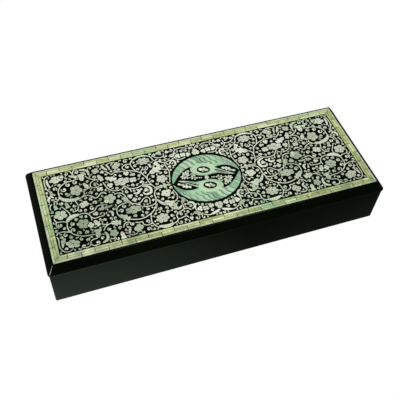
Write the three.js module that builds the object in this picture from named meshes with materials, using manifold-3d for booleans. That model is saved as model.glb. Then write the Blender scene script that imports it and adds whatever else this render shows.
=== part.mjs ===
// Long lacquered box for writing brushes, with a lift-off lid inlaid with shell.
// Millimetres, +Z up, +X along the box, front towards -Y. The origin is in the middle of the underside.
import * as THREE from 'three';
import { mergeVertices } from 'three/addons/utils/BufferGeometryUtils.js';
import Module from 'manifold-3d';

const wasm = await Module();
wasm.setup();

// Lid, outside
const LID_LENGTH = 250.0;
const LID_WIDTH = 91.0;
const RIM_EDGE = 1.2;
const BEVEL_DROP = 5.4;
const BEVEL_RUN = 4.3;
const EDGE_MARGIN = 0.9;
const RIM_CORNER_RADIUS = 2.5;
const TOP_CORNER_RADIUS = 1.3;
const ARRIS_SOFTENING = 0.5;

// Lid, inside
const PANEL_THICKNESS = 3.2;
const LID_LINING_THICKNESS = 0.6;

// Base
const BASE_HEIGHT = 32.8;
const LID_OVERHANG = 0.8;
const WALL_THICKNESS = 6.5;
const BASE_CORNER_RADIUS = 1.2;
const FLOOR_THICKNESS = 4.0;
const FLOOR_REBATE = 3.0;
const LINER_THICKNESS = 1.5;
const LIP_HEIGHT = 2.1;
const LIP_CHAMFER = 0.6;
const FLOOR_LINING_THICKNESS = 1.4;

// Clearances
const LIP_CLEARANCE = 0.4;
const MITRE_GAP = 0.2;
const GLUE_GAP = 0.2;
const LINING_GAP = 0.4;

// Shell inlay
const SHELL_THICKNESS = 0.3;
const COURSE_WIDTH = 1.6;
const COURSE_GAP = 0.2;
const TILE_LENGTH = 18.3;
const TILE_JOINT_WIDTH = 0.25;
const TILE_JOINT_DEPTH = 0.15;
const FIELD_GAP = 0.5;
const SHELL_GAP = 0.3;
const VINE_WIDTH = 0.8;
const WHEEL_END_WIDTH = 1.2;
const TENDRIL_END_WIDTH = 1.0;

// Medallion
const MEDALLION_LENGTH = 51.2;
const MEDALLION_WIDTH = 43.2;
const MEDALLION_GAP = 1.0;
const EYE_LENGTH = 10.0;
const EYE_WIDTH = 6.6;
const EYE_RISE = 7.6;
const EYE_TILT = -15;
const EYE_BLOSSOM_LENGTH = 6.8;
const EYE_BLOSSOM_WIDTH = 4.0;
const STAR_LENGTH = 4.0;
const STAR_WIDTH = 3.2;

// Heights and insets that follow from the sizes above
const RIM_BOTTOM = BASE_HEIGHT;
const LID_TOP = RIM_BOTTOM + RIM_EDGE + BEVEL_DROP;
const PANEL_TOP = LID_TOP - SHELL_THICKNESS;
const PANEL_BOTTOM = PANEL_TOP - PANEL_THICKNESS;
const BORDER_LENGTH = LID_LENGTH - 2 * (BEVEL_RUN + EDGE_MARGIN);
const BORDER_WIDTH = LID_WIDTH - 2 * (BEVEL_RUN + EDGE_MARGIN);
const COURSES = ['outer', 'middle', 'inner'];
const BORDER_DEPTH = COURSES.length * COURSE_WIDTH + (COURSES.length - 1) * COURSE_GAP;
const FIELD_LENGTH = BORDER_LENGTH - 2 * (BORDER_DEPTH + FIELD_GAP);
const FIELD_WIDTH = BORDER_WIDTH - 2 * (BORDER_DEPTH + FIELD_GAP);
const BASE_LENGTH = LID_LENGTH - 2 * LID_OVERHANG;
const BASE_WIDTH = LID_WIDTH - 2 * LID_OVERHANG;
const CAVITY_LENGTH = BASE_LENGTH - 2 * WALL_THICKNESS;
const CAVITY_WIDTH = BASE_WIDTH - 2 * WALL_THICKNESS;
const WELL_LENGTH = CAVITY_LENGTH - 2 * LINER_THICKNESS;
const WELL_WIDTH = CAVITY_WIDTH - 2 * LINER_THICKNESS;
const POCKET_LENGTH = CAVITY_LENGTH + 2 * LIP_CLEARANCE;
const POCKET_WIDTH = CAVITY_WIDTH + 2 * LIP_CLEARANCE;

// The scroll is set out on a grid of squares that fills one quarter of the field
const GRID_COLUMNS = 24;
const GRID_ROWS = 7;
const GRID_X = FIELD_LENGTH / 2 / GRID_COLUMNS;
const GRID_Y = FIELD_WIDTH / 2 / GRID_ROWS;

// How far a cutting solid runs past what it cuts
const OVERCUT = 1;

const radians = THREE.MathUtils.degToRad;
const degrees = THREE.MathUtils.radToDeg;

const lacquer = () => new THREE.MeshStandardMaterial({ color: 0x070807, roughness: 0.12, metalness: 0 });
const fabric = () => new THREE.MeshStandardMaterial({ color: 0x5a1018, roughness: 0.95, metalness: 0 });
const paleShell = () => new THREE.MeshStandardMaterial({ color: 0xc3c6b4, roughness: 0.3, metalness: 0.1 });
const goldShell = () => new THREE.MeshStandardMaterial({ color: 0xb9c487, roughness: 0.3, metalness: 0.1 });
const greenShell = () => new THREE.MeshStandardMaterial({ color: 0x9cc7a4, roughness: 0.3, metalness: 0.1 });

const box = new THREE.Group();

function addMesh(name, geometry, material) {
  const mesh = new THREE.Mesh(geometry, material);
  mesh.name = name;
  box.add(mesh);
}

// Closed geometry to a solid for cutting and joining, and back
function toSolid(geometry) {
  const bare = geometry.index ? geometry.toNonIndexed() : geometry.clone();
  bare.deleteAttribute('normal');
  bare.deleteAttribute('uv');
  const merged = mergeVertices(bare, 1e-5);
  return new wasm.Manifold(new wasm.Mesh({
    numProp: 3,
    vertProperties: new Float32Array(merged.attributes.position.array),
    triVerts: new Uint32Array(merged.index.array),
  }));
}

function toGeometry(solid) {
  const result = solid.getMesh();
  const geometry = new THREE.BufferGeometry();
  geometry.setAttribute('position', new THREE.BufferAttribute(result.vertProperties, 3));
  geometry.setIndex(new THREE.BufferAttribute(result.triVerts, 1));
  const flat = geometry.toNonIndexed();
  flat.computeVertexNormals();
  return flat;
}

const join = (solids) => solids.reduce((whole, next) => whole.add(next));

function block(length, width, bottom, top) {
  const geometry = new THREE.BoxGeometry(length, width, top - bottom);
  geometry.translate(0, 0, (top + bottom) / 2);
  return toSolid(geometry);
}

function plate(shape, bottom, top, curveSegments = 6) {
  const geometry = new THREE.ExtrudeGeometry(shape, { depth: top - bottom, bevelEnabled: false, curveSegments });
  geometry.translate(0, 0, bottom);
  return toSolid(geometry);
}

const shellPlate = (shape, curveSegments) => plate(shape, PANEL_TOP, LID_TOP, curveSegments);

// Rectangle with round corners, as points anticlockwise from the right side
const CORNER_STEPS = 3;

function roundedRectangle(length, width, radius) {
  const corners = [[1, 1], [-1, 1], [-1, -1], [1, -1]];
  return corners.flatMap(([sideX, sideY], corner) => {
    const centre = new THREE.Vector2(sideX * (length / 2 - radius), sideY * (width / 2 - radius));
    if (radius === 0) {
      return [centre];
    }
    return Array.from({ length: CORNER_STEPS + 1 }, (_, step) => {
      const angle = radians(90 * (corner + step / CORNER_STEPS));
      return new THREE.Vector2(radius, 0).rotateAround(new THREE.Vector2(), angle).add(centre);
    });
  });
}

// Solid through a stack of round-cornered rectangles: profile points are inset (x) and height (y)
function stackedSolid(length, width, profile, radiusAt) {
  const positions = [];
  const faces = [];
  for (const { x: inset, y: height } of profile) {
    for (const point of roundedRectangle(length - 2 * inset, width - 2 * inset, radiusAt(inset))) {
      positions.push(point.x, point.y, height);
    }
  }
  const count = positions.length / 3 / profile.length;
  const last = (profile.length - 1) * count;
  for (let layer = 0; layer < last; layer += count) {
    for (let i = 0; i < count; i += 1) {
      const next = (i + 1) % count;
      faces.push(layer + i, layer + next, layer + count + next);
      faces.push(layer + i, layer + count + next, layer + count + i);
    }
  }
  for (let i = 1; i < count - 1; i += 1) {
    faces.push(0, i + 1, i);
    faces.push(last, last + i, last + i + 1);
  }
  const geometry = new THREE.BufferGeometry();
  geometry.setAttribute('position', new THREE.Float32BufferAttribute(positions, 3));
  geometry.setIndex(faces);
  return toSolid(geometry);
}

// Wedge of the plan that belongs to one side of a mitred frame, a half gap short of each mitre
function mitreWedge(side) {
  const far = 10;
  const back = MITRE_GAP / Math.SQRT2;
  const endX = LID_LENGTH / 2 + far;
  const endY = LID_WIDTH / 2 + far;
  const ridge = (LID_LENGTH - LID_WIDTH) / 2;
  const long = [[-endX + back, -endY], [endX - back, -endY], [ridge - back, 0], [back - ridge, 0]];
  const short = [[-endX, endY - back], [-endX, back - endY], [-ridge - back, 0]];
  const flip = side === 'back' || side === 'right' ? -1 : 1;
  const corners = side === 'front' || side === 'back' ? long : short;
  const shape = new THREE.Shape(corners.map(([x, y]) => new THREE.Vector2(flip * x, flip * y)));
  return plate(shape, -far, LID_TOP + far);
}

const SIDES = ['front', 'back', 'left', 'right'];
const WEDGES = Object.fromEntries(SIDES.map((side) => [side, mitreWedge(side)]));

function addMitredFrame(prefix, ring, material) {
  for (const side of SIDES) {
    addMesh(`${prefix}_${side}`, toGeometry(ring.intersect(WEDGES[side])), material());
  }
}

// Base: walls, floor, the inner strips that locate the lid, and the lining pad
function addBase() {
  const soft = ARRIS_SOFTENING;
  const profile = new THREE.Path();
  profile.moveTo(soft, 0);
  profile.quadraticCurveTo(0, 0, 0, soft);
  profile.lineTo(0, BASE_HEIGHT);
  const floorLength = CAVITY_LENGTH + 2 * FLOOR_REBATE;
  const floorWidth = CAVITY_WIDTH + 2 * FLOOR_REBATE;
  const walls = stackedSolid(BASE_LENGTH, BASE_WIDTH, profile.getPoints(2), () => BASE_CORNER_RADIUS)
    .subtract(block(CAVITY_LENGTH, CAVITY_WIDTH, -OVERCUT, BASE_HEIGHT + OVERCUT))
    .subtract(block(floorLength + GLUE_GAP, floorWidth + GLUE_GAP, -OVERCUT, FLOOR_THICKNESS));
  addMitredFrame('base_wall', walls, lacquer);
  addMesh('base_floor', toGeometry(block(floorLength, floorWidth, 0, FLOOR_THICKNESS)), lacquer());

  const lipTop = BASE_HEIGHT + LIP_HEIGHT;
  const linerProfile = [
    new THREE.Vector2(0, FLOOR_THICKNESS),
    new THREE.Vector2(0, lipTop - LIP_CHAMFER),
    new THREE.Vector2(LIP_CHAMFER, lipTop),
  ];
  const liners = stackedSolid(CAVITY_LENGTH, CAVITY_WIDTH, linerProfile, () => 0)
    .subtract(block(WELL_LENGTH, WELL_WIDTH, 0, lipTop + OVERCUT));
  addMitredFrame('base_liner', liners, lacquer);

  const padTop = FLOOR_THICKNESS + FLOOR_LINING_THICKNESS;
  const pad = block(WELL_LENGTH - 2 * LINING_GAP, WELL_WIDTH - 2 * LINING_GAP, FLOOR_THICKNESS, padTop);
  addMesh('base_lining', toGeometry(pad), fabric());
}

// Lid: bevelled frame, the panel on its ledge, and the lining in the pocket under the panel
function addLid() {
  const soft = ARRIS_SOFTENING;
  const slope = new THREE.Vector2(BEVEL_RUN, BEVEL_DROP).setLength(soft);
  const profile = new THREE.Path();
  profile.moveTo(soft / 2, RIM_BOTTOM);
  profile.quadraticCurveTo(0, RIM_BOTTOM, 0, RIM_BOTTOM + soft / 2);
  profile.lineTo(0, RIM_BOTTOM + RIM_EDGE - soft);
  profile.quadraticCurveTo(0, RIM_BOTTOM + RIM_EDGE, slope.x, RIM_BOTTOM + RIM_EDGE + slope.y);
  profile.lineTo(BEVEL_RUN - slope.x, LID_TOP - slope.y);
  profile.quadraticCurveTo(BEVEL_RUN, LID_TOP, BEVEL_RUN + soft, LID_TOP);
  const cornerRadius = (inset) => THREE.MathUtils.lerp(RIM_CORNER_RADIUS, TOP_CORNER_RADIUS, inset / BEVEL_RUN);
  const rails = stackedSolid(LID_LENGTH, LID_WIDTH, profile.getPoints(2), cornerRadius)
    .subtract(block(POCKET_LENGTH, POCKET_WIDTH, RIM_BOTTOM - OVERCUT, LID_TOP + OVERCUT))
    .subtract(block(BORDER_LENGTH + GLUE_GAP, BORDER_WIDTH + GLUE_GAP, PANEL_BOTTOM, LID_TOP + OVERCUT));
  addMitredFrame('lid_rail', rails, lacquer);
  addMesh('lid_panel', toGeometry(block(BORDER_LENGTH, BORDER_WIDTH, PANEL_BOTTOM, PANEL_TOP)), lacquer());

  const liningLength = POCKET_LENGTH - 2 * LINING_GAP;
  const liningWidth = POCKET_WIDTH - 2 * LINING_GAP;
  const lining = block(liningLength, liningWidth, PANEL_BOTTOM - LID_LINING_THICKNESS, PANEL_BOTTOM);
  addMesh('lid_lining', toGeometry(lining), fabric());
}

// Border: three courses of tiles. The joints cut the middle course at every half tile and the outer and
// inner courses by turns, so that each joint runs across two courses.
function addBorder() {
  const halfTile = TILE_LENGTH / 2;
  COURSES.forEach((course, row) => {
    const inset = row * (COURSE_WIDTH + COURSE_GAP);
    const length = BORDER_LENGTH - 2 * inset;
    const width = BORDER_WIDTH - 2 * inset;
    const ring = block(length, width, PANEL_TOP, LID_TOP)
      .subtract(block(length - 2 * COURSE_WIDTH, width - 2 * COURSE_WIDTH, RIM_BOTTOM, LID_TOP + OVERCUT));
    for (const side of SIDES) {
      const along = side === 'front' || side === 'back' ? 'x' : 'y';
      const reach = (along === 'x' ? length : width) / 2 - 2 * COURSE_WIDTH;
      let strip = ring.intersect(WEDGES[side]);
      for (let k = -Math.floor(reach / halfTile); k <= reach / halfTile; k += 1) {
        const cutsCourse = course === 'middle' || (k % 2 === 0) === (course === 'inner');
        if (cutsCourse) {
          strip = strip.subtract(tileJoint(along, k * halfTile));
        }
      }
      addMesh(`border_${course}_${side}`, toGeometry(strip), goldShell());
    }
  });
}

// Notch of triangular section across the border, pointing down
function tileJoint(along, place) {
  const open = 0.1;
  const half = (TILE_JOINT_WIDTH / 2) * (1 + open / TILE_JOINT_DEPTH);
  const section = new THREE.Shape([
    new THREE.Vector2(0, -TILE_JOINT_DEPTH),
    new THREE.Vector2(half, open),
    new THREE.Vector2(-half, open),
  ]);
  const geometry = new THREE.ExtrudeGeometry(section, { depth: LID_LENGTH, bevelEnabled: false });
  geometry.translate(0, 0, -LID_LENGTH / 2);
  geometry.rotateX(Math.PI / 2);
  geometry.rotateZ(along === 'x' ? 0 : Math.PI / 2);
  geometry.translate(along === 'x' ? place : 0, along === 'x' ? 0 : place, LID_TOP);
  return toSolid(geometry);
}

// Closed outline without the doubled points where its stretches meet
function closedShape(points) {
  return new THREE.Shape(points.filter((point, i) => point.distanceTo(points.at(i - 1)) > 0.02));
}

// A strip of even or tapering width along a plane curve
function ribbon(curve, steps, startWidth, endWidth = startWidth) {
  const left = [];
  const right = [];
  for (let i = 0; i <= steps; i += 1) {
    const t = i / steps;
    const point = curve.getPoint(t);
    const tangent = curve.getTangent(t);
    const half = THREE.MathUtils.lerp(startWidth, endWidth, t) / 2;
    left.push(new THREE.Vector2(point.x - tangent.y * half, point.y + tangent.x * half));
    right.unshift(new THREE.Vector2(point.x + tangent.y * half, point.y - tangent.x * half));
  }
  return shellPlate(new THREE.Shape([...left, ...right]));
}

// Elliptical spiral that keeps its full size for half its sweep and then curls in to a share of it
const CURL_END = 0.35;

class Spiral extends THREE.Curve {
  constructor(centre, radiusX, radiusY, startDegrees, sweepDegrees) {
    super();
    Object.assign(this, { centre, radiusX, radiusY, startDegrees, sweepDegrees });
  }

  getPoint(t, target = new THREE.Vector2()) {
    const angle = radians(this.startDegrees + this.sweepDegrees * t);
    const share = THREE.MathUtils.lerp(1, CURL_END, THREE.MathUtils.smoothstep(t, 0.5, 1.1));
    target.set(this.radiusX * share * Math.cos(angle), this.radiusY * share * Math.sin(angle));
    return target.add(this.centre);
  }
}

// Blossom with scalloped petals, notched between them by a share of its size
const PETAL_NOTCH = 0.22;

function blossomShape(centre, radiusX, radiusY, petals, turnDegrees = 90) {
  const count = petals * 3;
  return new THREE.Shape(Array.from({ length: count }, (_, i) => {
    const angle = (2 * Math.PI * i) / count;
    const share = 1 - PETAL_NOTCH * (1 - Math.abs(Math.sin((petals * angle) / 2)));
    const along = angle + radians(turnDegrees);
    return new THREE.Vector2(radiusX * share * Math.cos(along), radiusY * share * Math.sin(along)).add(centre);
  }));
}

// Leaf from its stalk end to its tip
function leafShape(stalk, length, width, turnDegrees) {
  const side = (sign) => [0.3, 0.65].map((share) => [share * length, (sign * width * (1.15 - share)) / 1.7]);
  const outline = [[0, 0], ...side(-1), [length, 0], ...side(1).reverse()];
  return new THREE.Shape(outline.map(([x, y]) => (
    new THREE.Vector2(x, y).rotateAround(new THREE.Vector2(), radians(turnDegrees)).add(stalk)
  )));
}

// The quarter of the scroll away from both centre lines. Places are in grid squares from the centre lines.
const WHEELS = [
  { x: 20.0, y: 3.15, rx: 2.05, ry: 1.95, start: -100, sweep: 440, size: 1.0, petals: 5 },
  { x: 12.1, y: 2.8, rx: 2.8, ry: 1.75, start: -120, sweep: 430, size: 1.08, petals: 6 },
  { x: 8.7, y: 5.4, rx: 1.75, ry: 1.45, start: -110, sweep: 410, size: 0.9, petals: 5 },
  { x: 6.9, y: 1.85, rx: 1.6, ry: 1.5, start: -70, sweep: -410, size: 0.9, petals: 5 },
];

const STEMS = [
  [[22.6, 1.7], [21.4, 1.35], [20.0, 1.2], [18.2, 1.6], [16.6, 1.25], [14.4, 1.5], [12.1, 1.05], [9.9, 1.35],
    [8.4, 1.1], [7.0, 0.4]],
  [[23.4, 3.2], [23.1, 4.6], [21.6, 5.15], [20.0, 5.1], [18.4, 5.4], [17.0, 6.3], [15.7, 5.35], [14.2, 6.2],
    [12.6, 5.25], [11.0, 4.2], [9.6, 4.05]],
  [[8.9, 6.85], [7.0, 6.3], [5.6, 5.3], [4.2, 6.2], [2.6, 5.85], [1.0, 6.6]],
  [[8.4, 3.95], [7.7, 3.5], [6.9, 3.3]],
];

const FLOWERS = [
  { x: 21.9, y: 5.85, rx: 1.0, ry: 0.72, petals: 5 },
  { x: 18.4, y: 5.6, rx: 0.73, ry: 0.62, petals: 4 },
  { x: 15.7, y: 5.95, rx: 0.71, ry: 0.64, petals: 3 },
  { x: 12.5, y: 5.95, rx: 0.78, ry: 0.68, petals: 3 },
  { x: 2.5, y: 5.45, rx: 0.76, ry: 0.52, petals: 4 },
];

const LEAVES = [
  { x: 22.3, y: 1.6, length: 6.0, width: 2.8, turn: 20 },
  { x: 18.2, y: 1.6, length: 7.5, width: 3.4, turn: 60 },
  { x: 15.5, y: 1.4, length: 6.0, width: 3.0, turn: 120 },
  { x: 14.4, y: 1.5, length: 6.0, width: 2.8, turn: -100 },
  { x: 9.6, y: 1.3, length: 6.5, width: 3.0, turn: 100 },
  { x: 23.1, y: 4.6, length: 5.5, width: 2.6, turn: 70 },
  { x: 15.7, y: 5.35, length: 7.0, width: 3.4, turn: -70 },
  { x: 5.6, y: 5.3, length: 5.5, width: 2.8, turn: -60 },
];

// Tendrils leave a stem at the given heading and curl to one side
const TENDRILS = [
  { x: 16.6, y: 1.25, radius: 2.4, heading: 150, curl: -1 },
  { x: 10.9, y: 1.15, radius: 2.4, heading: -60, curl: -1 },
  { x: 17.7, y: 5.8, radius: 2.2, heading: -60, curl: -1 },
  { x: 6.3, y: 5.9, radius: 2.3, heading: 100, curl: 1 },
];

// Blossoms and buds on the long centre line, left and right, in grid squares
const LINE_BLOSSOMS = [
  { name: 'blossom_outer', x: 22.5, rx: 0.94, ry: 1.0, petals: 5 },
  { name: 'bud', x: 19.0, rx: 0.7, ry: 0.6, petals: 3 },
  { name: 'blossom_inner', x: 15.1, rx: 1.0, ry: 0.8, petals: 5 },
  { name: 'bud_inner', x: 11.6, rx: 0.7, ry: 0.52, petals: 4 },
];

// Leaves that point at the medallion's ends, and trefoils over its long sides, clear of its rim
const POINTER_LENGTH = 12.0;
const POINTER_WIDTH = 2.2;
const TREFOIL_LENGTH = 6.2;
const TREFOIL_WIDTH = 6.0;

function tendril(stalk, radius, headingDegrees, curl, sideX, sideY) {
  const heading = radians(headingDegrees);
  const centre = new THREE.Vector2(-curl * Math.sin(heading), curl * Math.cos(heading)).multiplyScalar(radius);
  const flipped = new THREE.Vector2(sideX * centre.x, sideY * centre.y).add(stalk);
  const start = headingDegrees - 90 * curl;
  return new Spiral(flipped, sideX * radius, sideY * radius, start, 360 * curl);
}

function scrollQuarter(sideX, sideY) {
  const place = (x, y) => new THREE.Vector2(sideX * x * GRID_X, sideY * y * GRID_Y);
  const turned = (turn) => degrees(Math.atan2(sideY * Math.sin(radians(turn)), sideX * Math.cos(radians(turn))));
  const parts = [];
  for (const { x, y, rx, ry, start, sweep, size, petals } of WHEELS) {
    const curve = new Spiral(place(x, y), sideX * rx * GRID_X, sideY * ry * GRID_Y, start, sweep);
    parts.push(ribbon(curve, 14, VINE_WIDTH, WHEEL_END_WIDTH));
    parts.push(shellPlate(blossomShape(place(x, y), size * GRID_X, size * GRID_Y, petals, turned(90))));
  }
  for (const stem of STEMS) {
    const curve = new THREE.SplineCurve(stem.map(([x, y]) => place(x, y)));
    parts.push(ribbon(curve, 2 * (stem.length - 1), VINE_WIDTH));
  }
  for (const { x, y, rx, ry, petals } of FLOWERS) {
    parts.push(shellPlate(blossomShape(place(x, y), rx * GRID_X, ry * GRID_Y, petals, turned(90))));
  }
  for (const { x, y, length, width, turn } of LEAVES) {
    parts.push(shellPlate(leafShape(place(x, y), length, width, turned(turn))));
  }
  for (const { x, y, radius, heading, curl } of TENDRILS) {
    const curve = tendril(place(x, y), radius, heading, curl, sideX, sideY);
    parts.push(ribbon(curve, 6, VINE_WIDTH, TENDRIL_END_WIDTH));
  }
  const inner = SHELL_GAP / 2;
  const quarter = new THREE.BoxGeometry(FIELD_LENGTH / 2 - inner, FIELD_WIDTH / 2 - inner, LID_TOP);
  quarter.translate(sideX * (FIELD_LENGTH / 4 + inner / 2), sideY * (FIELD_WIDTH / 4 + inner / 2), LID_TOP);
  return join(parts).intersect(toSolid(quarter)).subtract(medallionClearing());
}

function medallionClearing() {
  const shape = new THREE.Shape();
  const radiusX = MEDALLION_LENGTH / 2 + MEDALLION_GAP;
  const radiusY = MEDALLION_WIDTH / 2 + MEDALLION_GAP;
  shape.absellipse(0, 0, radiusX, radiusY, 0, 2 * Math.PI);
  return plate(shape, RIM_BOTTOM, LID_TOP + OVERCUT, 24);
}

function addScroll() {
  for (const [depthName, sideY] of [['front', -1], ['back', 1]]) {
    for (const [sideName, sideX] of [['left', -1], ['right', 1]]) {
      addMesh(`scroll_${depthName}_${sideName}`, toGeometry(scrollQuarter(sideX, sideY)), paleShell());
    }
  }
  for (const [sideName, side] of [['left', -1], ['right', 1]]) {
    for (const { name, x, rx, ry, petals } of LINE_BLOSSOMS) {
      const centre = new THREE.Vector2(side * x * GRID_X, 0);
      const shape = blossomShape(centre, rx * GRID_X, ry * GRID_Y, petals, 90 - 90 * side);
      addMesh(`${name}_${sideName}`, toGeometry(shellPlate(shape)), paleShell());
    }
    const stalk = new THREE.Vector2(side * (MEDALLION_LENGTH / 2 + MEDALLION_GAP + POINTER_LENGTH), 0);
    const pointer = leafShape(stalk, POINTER_LENGTH, POINTER_WIDTH, 90 + 90 * side);
    addMesh(`pointer_leaf_${sideName}`, toGeometry(shellPlate(pointer)), paleShell());
  }
  for (const [depthName, side] of [['front', -1], ['back', 1]]) {
    const centre = new THREE.Vector2(0, side * (MEDALLION_WIDTH / 2 + MEDALLION_GAP + TREFOIL_WIDTH / 2));
    const trefoil = blossomShape(centre, TREFOIL_LENGTH / 2, TREFOIL_WIDTH / 2, 3, 90 * side);
    addMesh(`trefoil_${depthName}`, toGeometry(shellPlate(trefoil)), paleShell());
  }
}

// Medallion: two comma-shaped swirls of green shell, each the other turned half round, with small pale
// pieces in the dark ground between them. Outline points are shares of the medallion's half length and
// half width, for the swirl at the back.
const SWIRL_POCKET = [[1, 0], [0.93, 0.13], [0.79, 0.29], [0.66, 0.345], [0.48, 0.345], [0.37, 0.32]];
const SWIRL_TAIL_TOP = [[0.37, 0.32], [0.42, 0.2], [0.57, 0.07], [0.82, -0.13]];
const SWIRL_TAIL_UNDER = [[0.82, -0.13], [0.6, -0.04], [0.4, 0.06], [0.22, 0.095], [0, 0.095], [-0.2, 0.165],
  [-0.33, 0.3], [-0.37, 0.42], [-0.31, 0.575]];
const SWIRL_HORN = [[-0.31, 0.575], [-0.46, 0.555], [-0.6, 0.455], [-0.785, 0.295], [-0.98, 0.06]];
const SPRAY_STEM = [[-0.74, 0.19], [-0.56, 0.2], [-0.4, 0.1], [-0.17, 0]];
const SPRAY_LEAVES = [
  { at: 0.1, upper: 0.11, lower: 0.07 },
  { at: 0.4, upper: 0.2, lower: 0.12 },
  { at: 0.68, upper: 0.15, lower: 0.08 },
];
const CLUSTER = [[0.62, 0.22], [0.73, 0.18], [0.84, 0.04]];
const CLUSTER_BEAD = 0.08;

function medallionPlace(side) {
  return ([u, v]) => new THREE.Vector2(side * u * MEDALLION_LENGTH / 2, side * v * MEDALLION_WIDTH / 2);
}

function swirl(side) {
  const place = medallionPlace(side);
  const horn = place(SWIRL_HORN.at(-1));
  const hornAngle = Math.atan2(horn.y / MEDALLION_WIDTH, horn.x / MEDALLION_LENGTH);
  const startAngle = side > 0 ? 0 : Math.PI;
  const sweep = THREE.MathUtils.euclideanModulo(hornAngle - startAngle, 2 * Math.PI);
  const rim = new THREE.EllipseCurve(0, 0, MEDALLION_LENGTH / 2, MEDALLION_WIDTH / 2, startAngle, startAngle + sweep);
  const edges = [SWIRL_POCKET, SWIRL_TAIL_TOP, SWIRL_TAIL_UNDER, SWIRL_HORN].map((edge) => (
    new THREE.SplineCurve(edge.map(place)).getPoints(2 * (edge.length - 1))
  ));
  return closedShape([...rim.getPoints(24).reverse(), ...edges.flat()]);
}

function eyeShape(side) {
  const shape = new THREE.Shape();
  const tilt = radians(EYE_TILT);
  shape.absellipse(0, side * EYE_RISE, EYE_LENGTH / 2, EYE_WIDTH / 2, 0, 2 * Math.PI, false, tilt);
  return shape;
}

function addMedallion() {
  for (const [depthName, sideName, side] of [['back', 'left', 1], ['front', 'right', -1]]) {
    const place = medallionPlace(side);
    const eye = plate(eyeShape(side), RIM_BOTTOM, LID_TOP + OVERCUT, 8);
    addMesh(`medallion_swirl_${depthName}`, toGeometry(shellPlate(swirl(side), 3).subtract(eye)), greenShell());

    const middle = new THREE.Vector2(0, side * EYE_RISE);
    const petals = blossomShape(middle, EYE_BLOSSOM_LENGTH / 2, EYE_BLOSSOM_WIDTH / 2, 4, 45);
    addMesh(`medallion_eye_${depthName}`, toGeometry(shellPlate(petals)), paleShell());

    const stem = new THREE.SplineCurve(SPRAY_STEM.map(place));
    const spray = [ribbon(stem, 5, VINE_WIDTH)];
    for (const { at, upper, lower } of SPRAY_LEAVES) {
      const stalk = stem.getPoint(at);
      const along = degrees(stem.getTangent(at).angle());
      for (const [share, turn] of [[upper, 65], [lower, -60]]) {
        const length = share * MEDALLION_LENGTH / 2;
        spray.push(shellPlate(leafShape(stalk, length, 0.55 * length, along + turn)));
      }
    }
    addMesh(`medallion_spray_${sideName}`, toGeometry(join(spray)), paleShell());

    const bead = CLUSTER_BEAD * MEDALLION_LENGTH / 2;
    const beads = CLUSTER.map((spot) => shellPlate(blossomShape(place(spot), bead, bead, 3)));
    beads.push(ribbon(new THREE.SplineCurve(CLUSTER.map(place)), 3, VINE_WIDTH));
    const clusterSide = side > 0 ? 'right' : 'left';
    addMesh(`medallion_cluster_${clusterSide}`, toGeometry(join(beads)), paleShell());
  }
  const star = blossomShape(new THREE.Vector2(), STAR_LENGTH / 2, STAR_WIDTH / 2, 5);
  addMesh('medallion_star', toGeometry(shellPlate(star)), paleShell());
}

addBase();
addLid();
addBorder();
addScroll();
addMedallion();

export default box;
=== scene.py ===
# Looks of the brush box: lacquered case and lid, tiled shell border, vine scroll, medallion and linings.
import math
import random

import bmesh
import bpy
import numpy as np
from mathutils import Matrix, Vector, geometry


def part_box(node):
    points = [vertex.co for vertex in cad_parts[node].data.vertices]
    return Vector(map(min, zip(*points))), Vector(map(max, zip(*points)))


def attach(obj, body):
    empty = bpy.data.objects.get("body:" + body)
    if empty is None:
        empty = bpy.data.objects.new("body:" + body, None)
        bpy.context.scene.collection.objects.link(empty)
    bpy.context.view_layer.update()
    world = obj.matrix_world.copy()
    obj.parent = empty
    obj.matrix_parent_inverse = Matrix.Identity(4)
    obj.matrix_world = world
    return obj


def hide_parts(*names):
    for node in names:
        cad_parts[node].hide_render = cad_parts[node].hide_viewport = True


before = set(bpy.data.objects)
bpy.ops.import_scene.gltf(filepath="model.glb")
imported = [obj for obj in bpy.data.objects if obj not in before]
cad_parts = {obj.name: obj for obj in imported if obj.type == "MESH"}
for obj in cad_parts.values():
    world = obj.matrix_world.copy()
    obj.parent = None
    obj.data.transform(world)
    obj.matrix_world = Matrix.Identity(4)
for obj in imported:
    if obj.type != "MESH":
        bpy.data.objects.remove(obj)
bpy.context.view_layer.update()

MM = 0.001
SIDES = ("front", "back", "left", "right")


def span(*nodes):
    """Lowest and highest corner of several CAD nodes together, in millimetres."""
    corners = [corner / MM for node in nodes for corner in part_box(node)]
    low = Vector([min(corner[axis] for corner in corners) for axis in range(3)])
    high = Vector([max(corner[axis] for corner in corners) for axis in range(3)])
    return low, high


def all_sides(prefix):
    return [f"{prefix}_{side}" for side in SIDES]


# Outer sizes of the carried-over pieces, in millimetres
BASE_LOW, BASE_HIGH = span(*all_sides("base_wall"))
LIP_LOW, LIP_HIGH = span(*all_sides("base_liner"))
LID_LOW, LID_HIGH = span(*all_sides("lid_rail"))
PANEL_LOW = span("lid_panel")[0]
BORDER_HIGH = span(*all_sides("border_outer"))[1]
FLOOR_HIGH = span("base_floor")[1]
PAD_LOW, PAD_HIGH = span("base_lining")
CLOTH_LOW, CLOTH_HIGH = span("lid_lining")

# Case, lip and lid
WALL = 6.5
BASE_CORNER = 1.2
BASE_ARRIS = 0.5
MOUTH_ARRIS = 0.25
REBATE_JOINT = 0.1
# Thin web left between the cavity and the rebate below it, until the two are joined
WEB = 0.1
LIP_WALL = 1.5
LIP_ARRIS = 0.5
LIP_INNER_ARRIS = 0.15
RIM_EDGE = 1.2
RIM_CORNER = 2.5
RIM_UNDER_ARRIS = 0.2
BEVEL_RUN = 4.3
LID_ARRIS = 0.45
TOP_CORNER = 0.6
TOP_ARRIS = 0.045
# How far the rounded part of a top corner can reach before it is drawn in
CORNER_REACH = 3
LID_POCKET = 6.9

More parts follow.
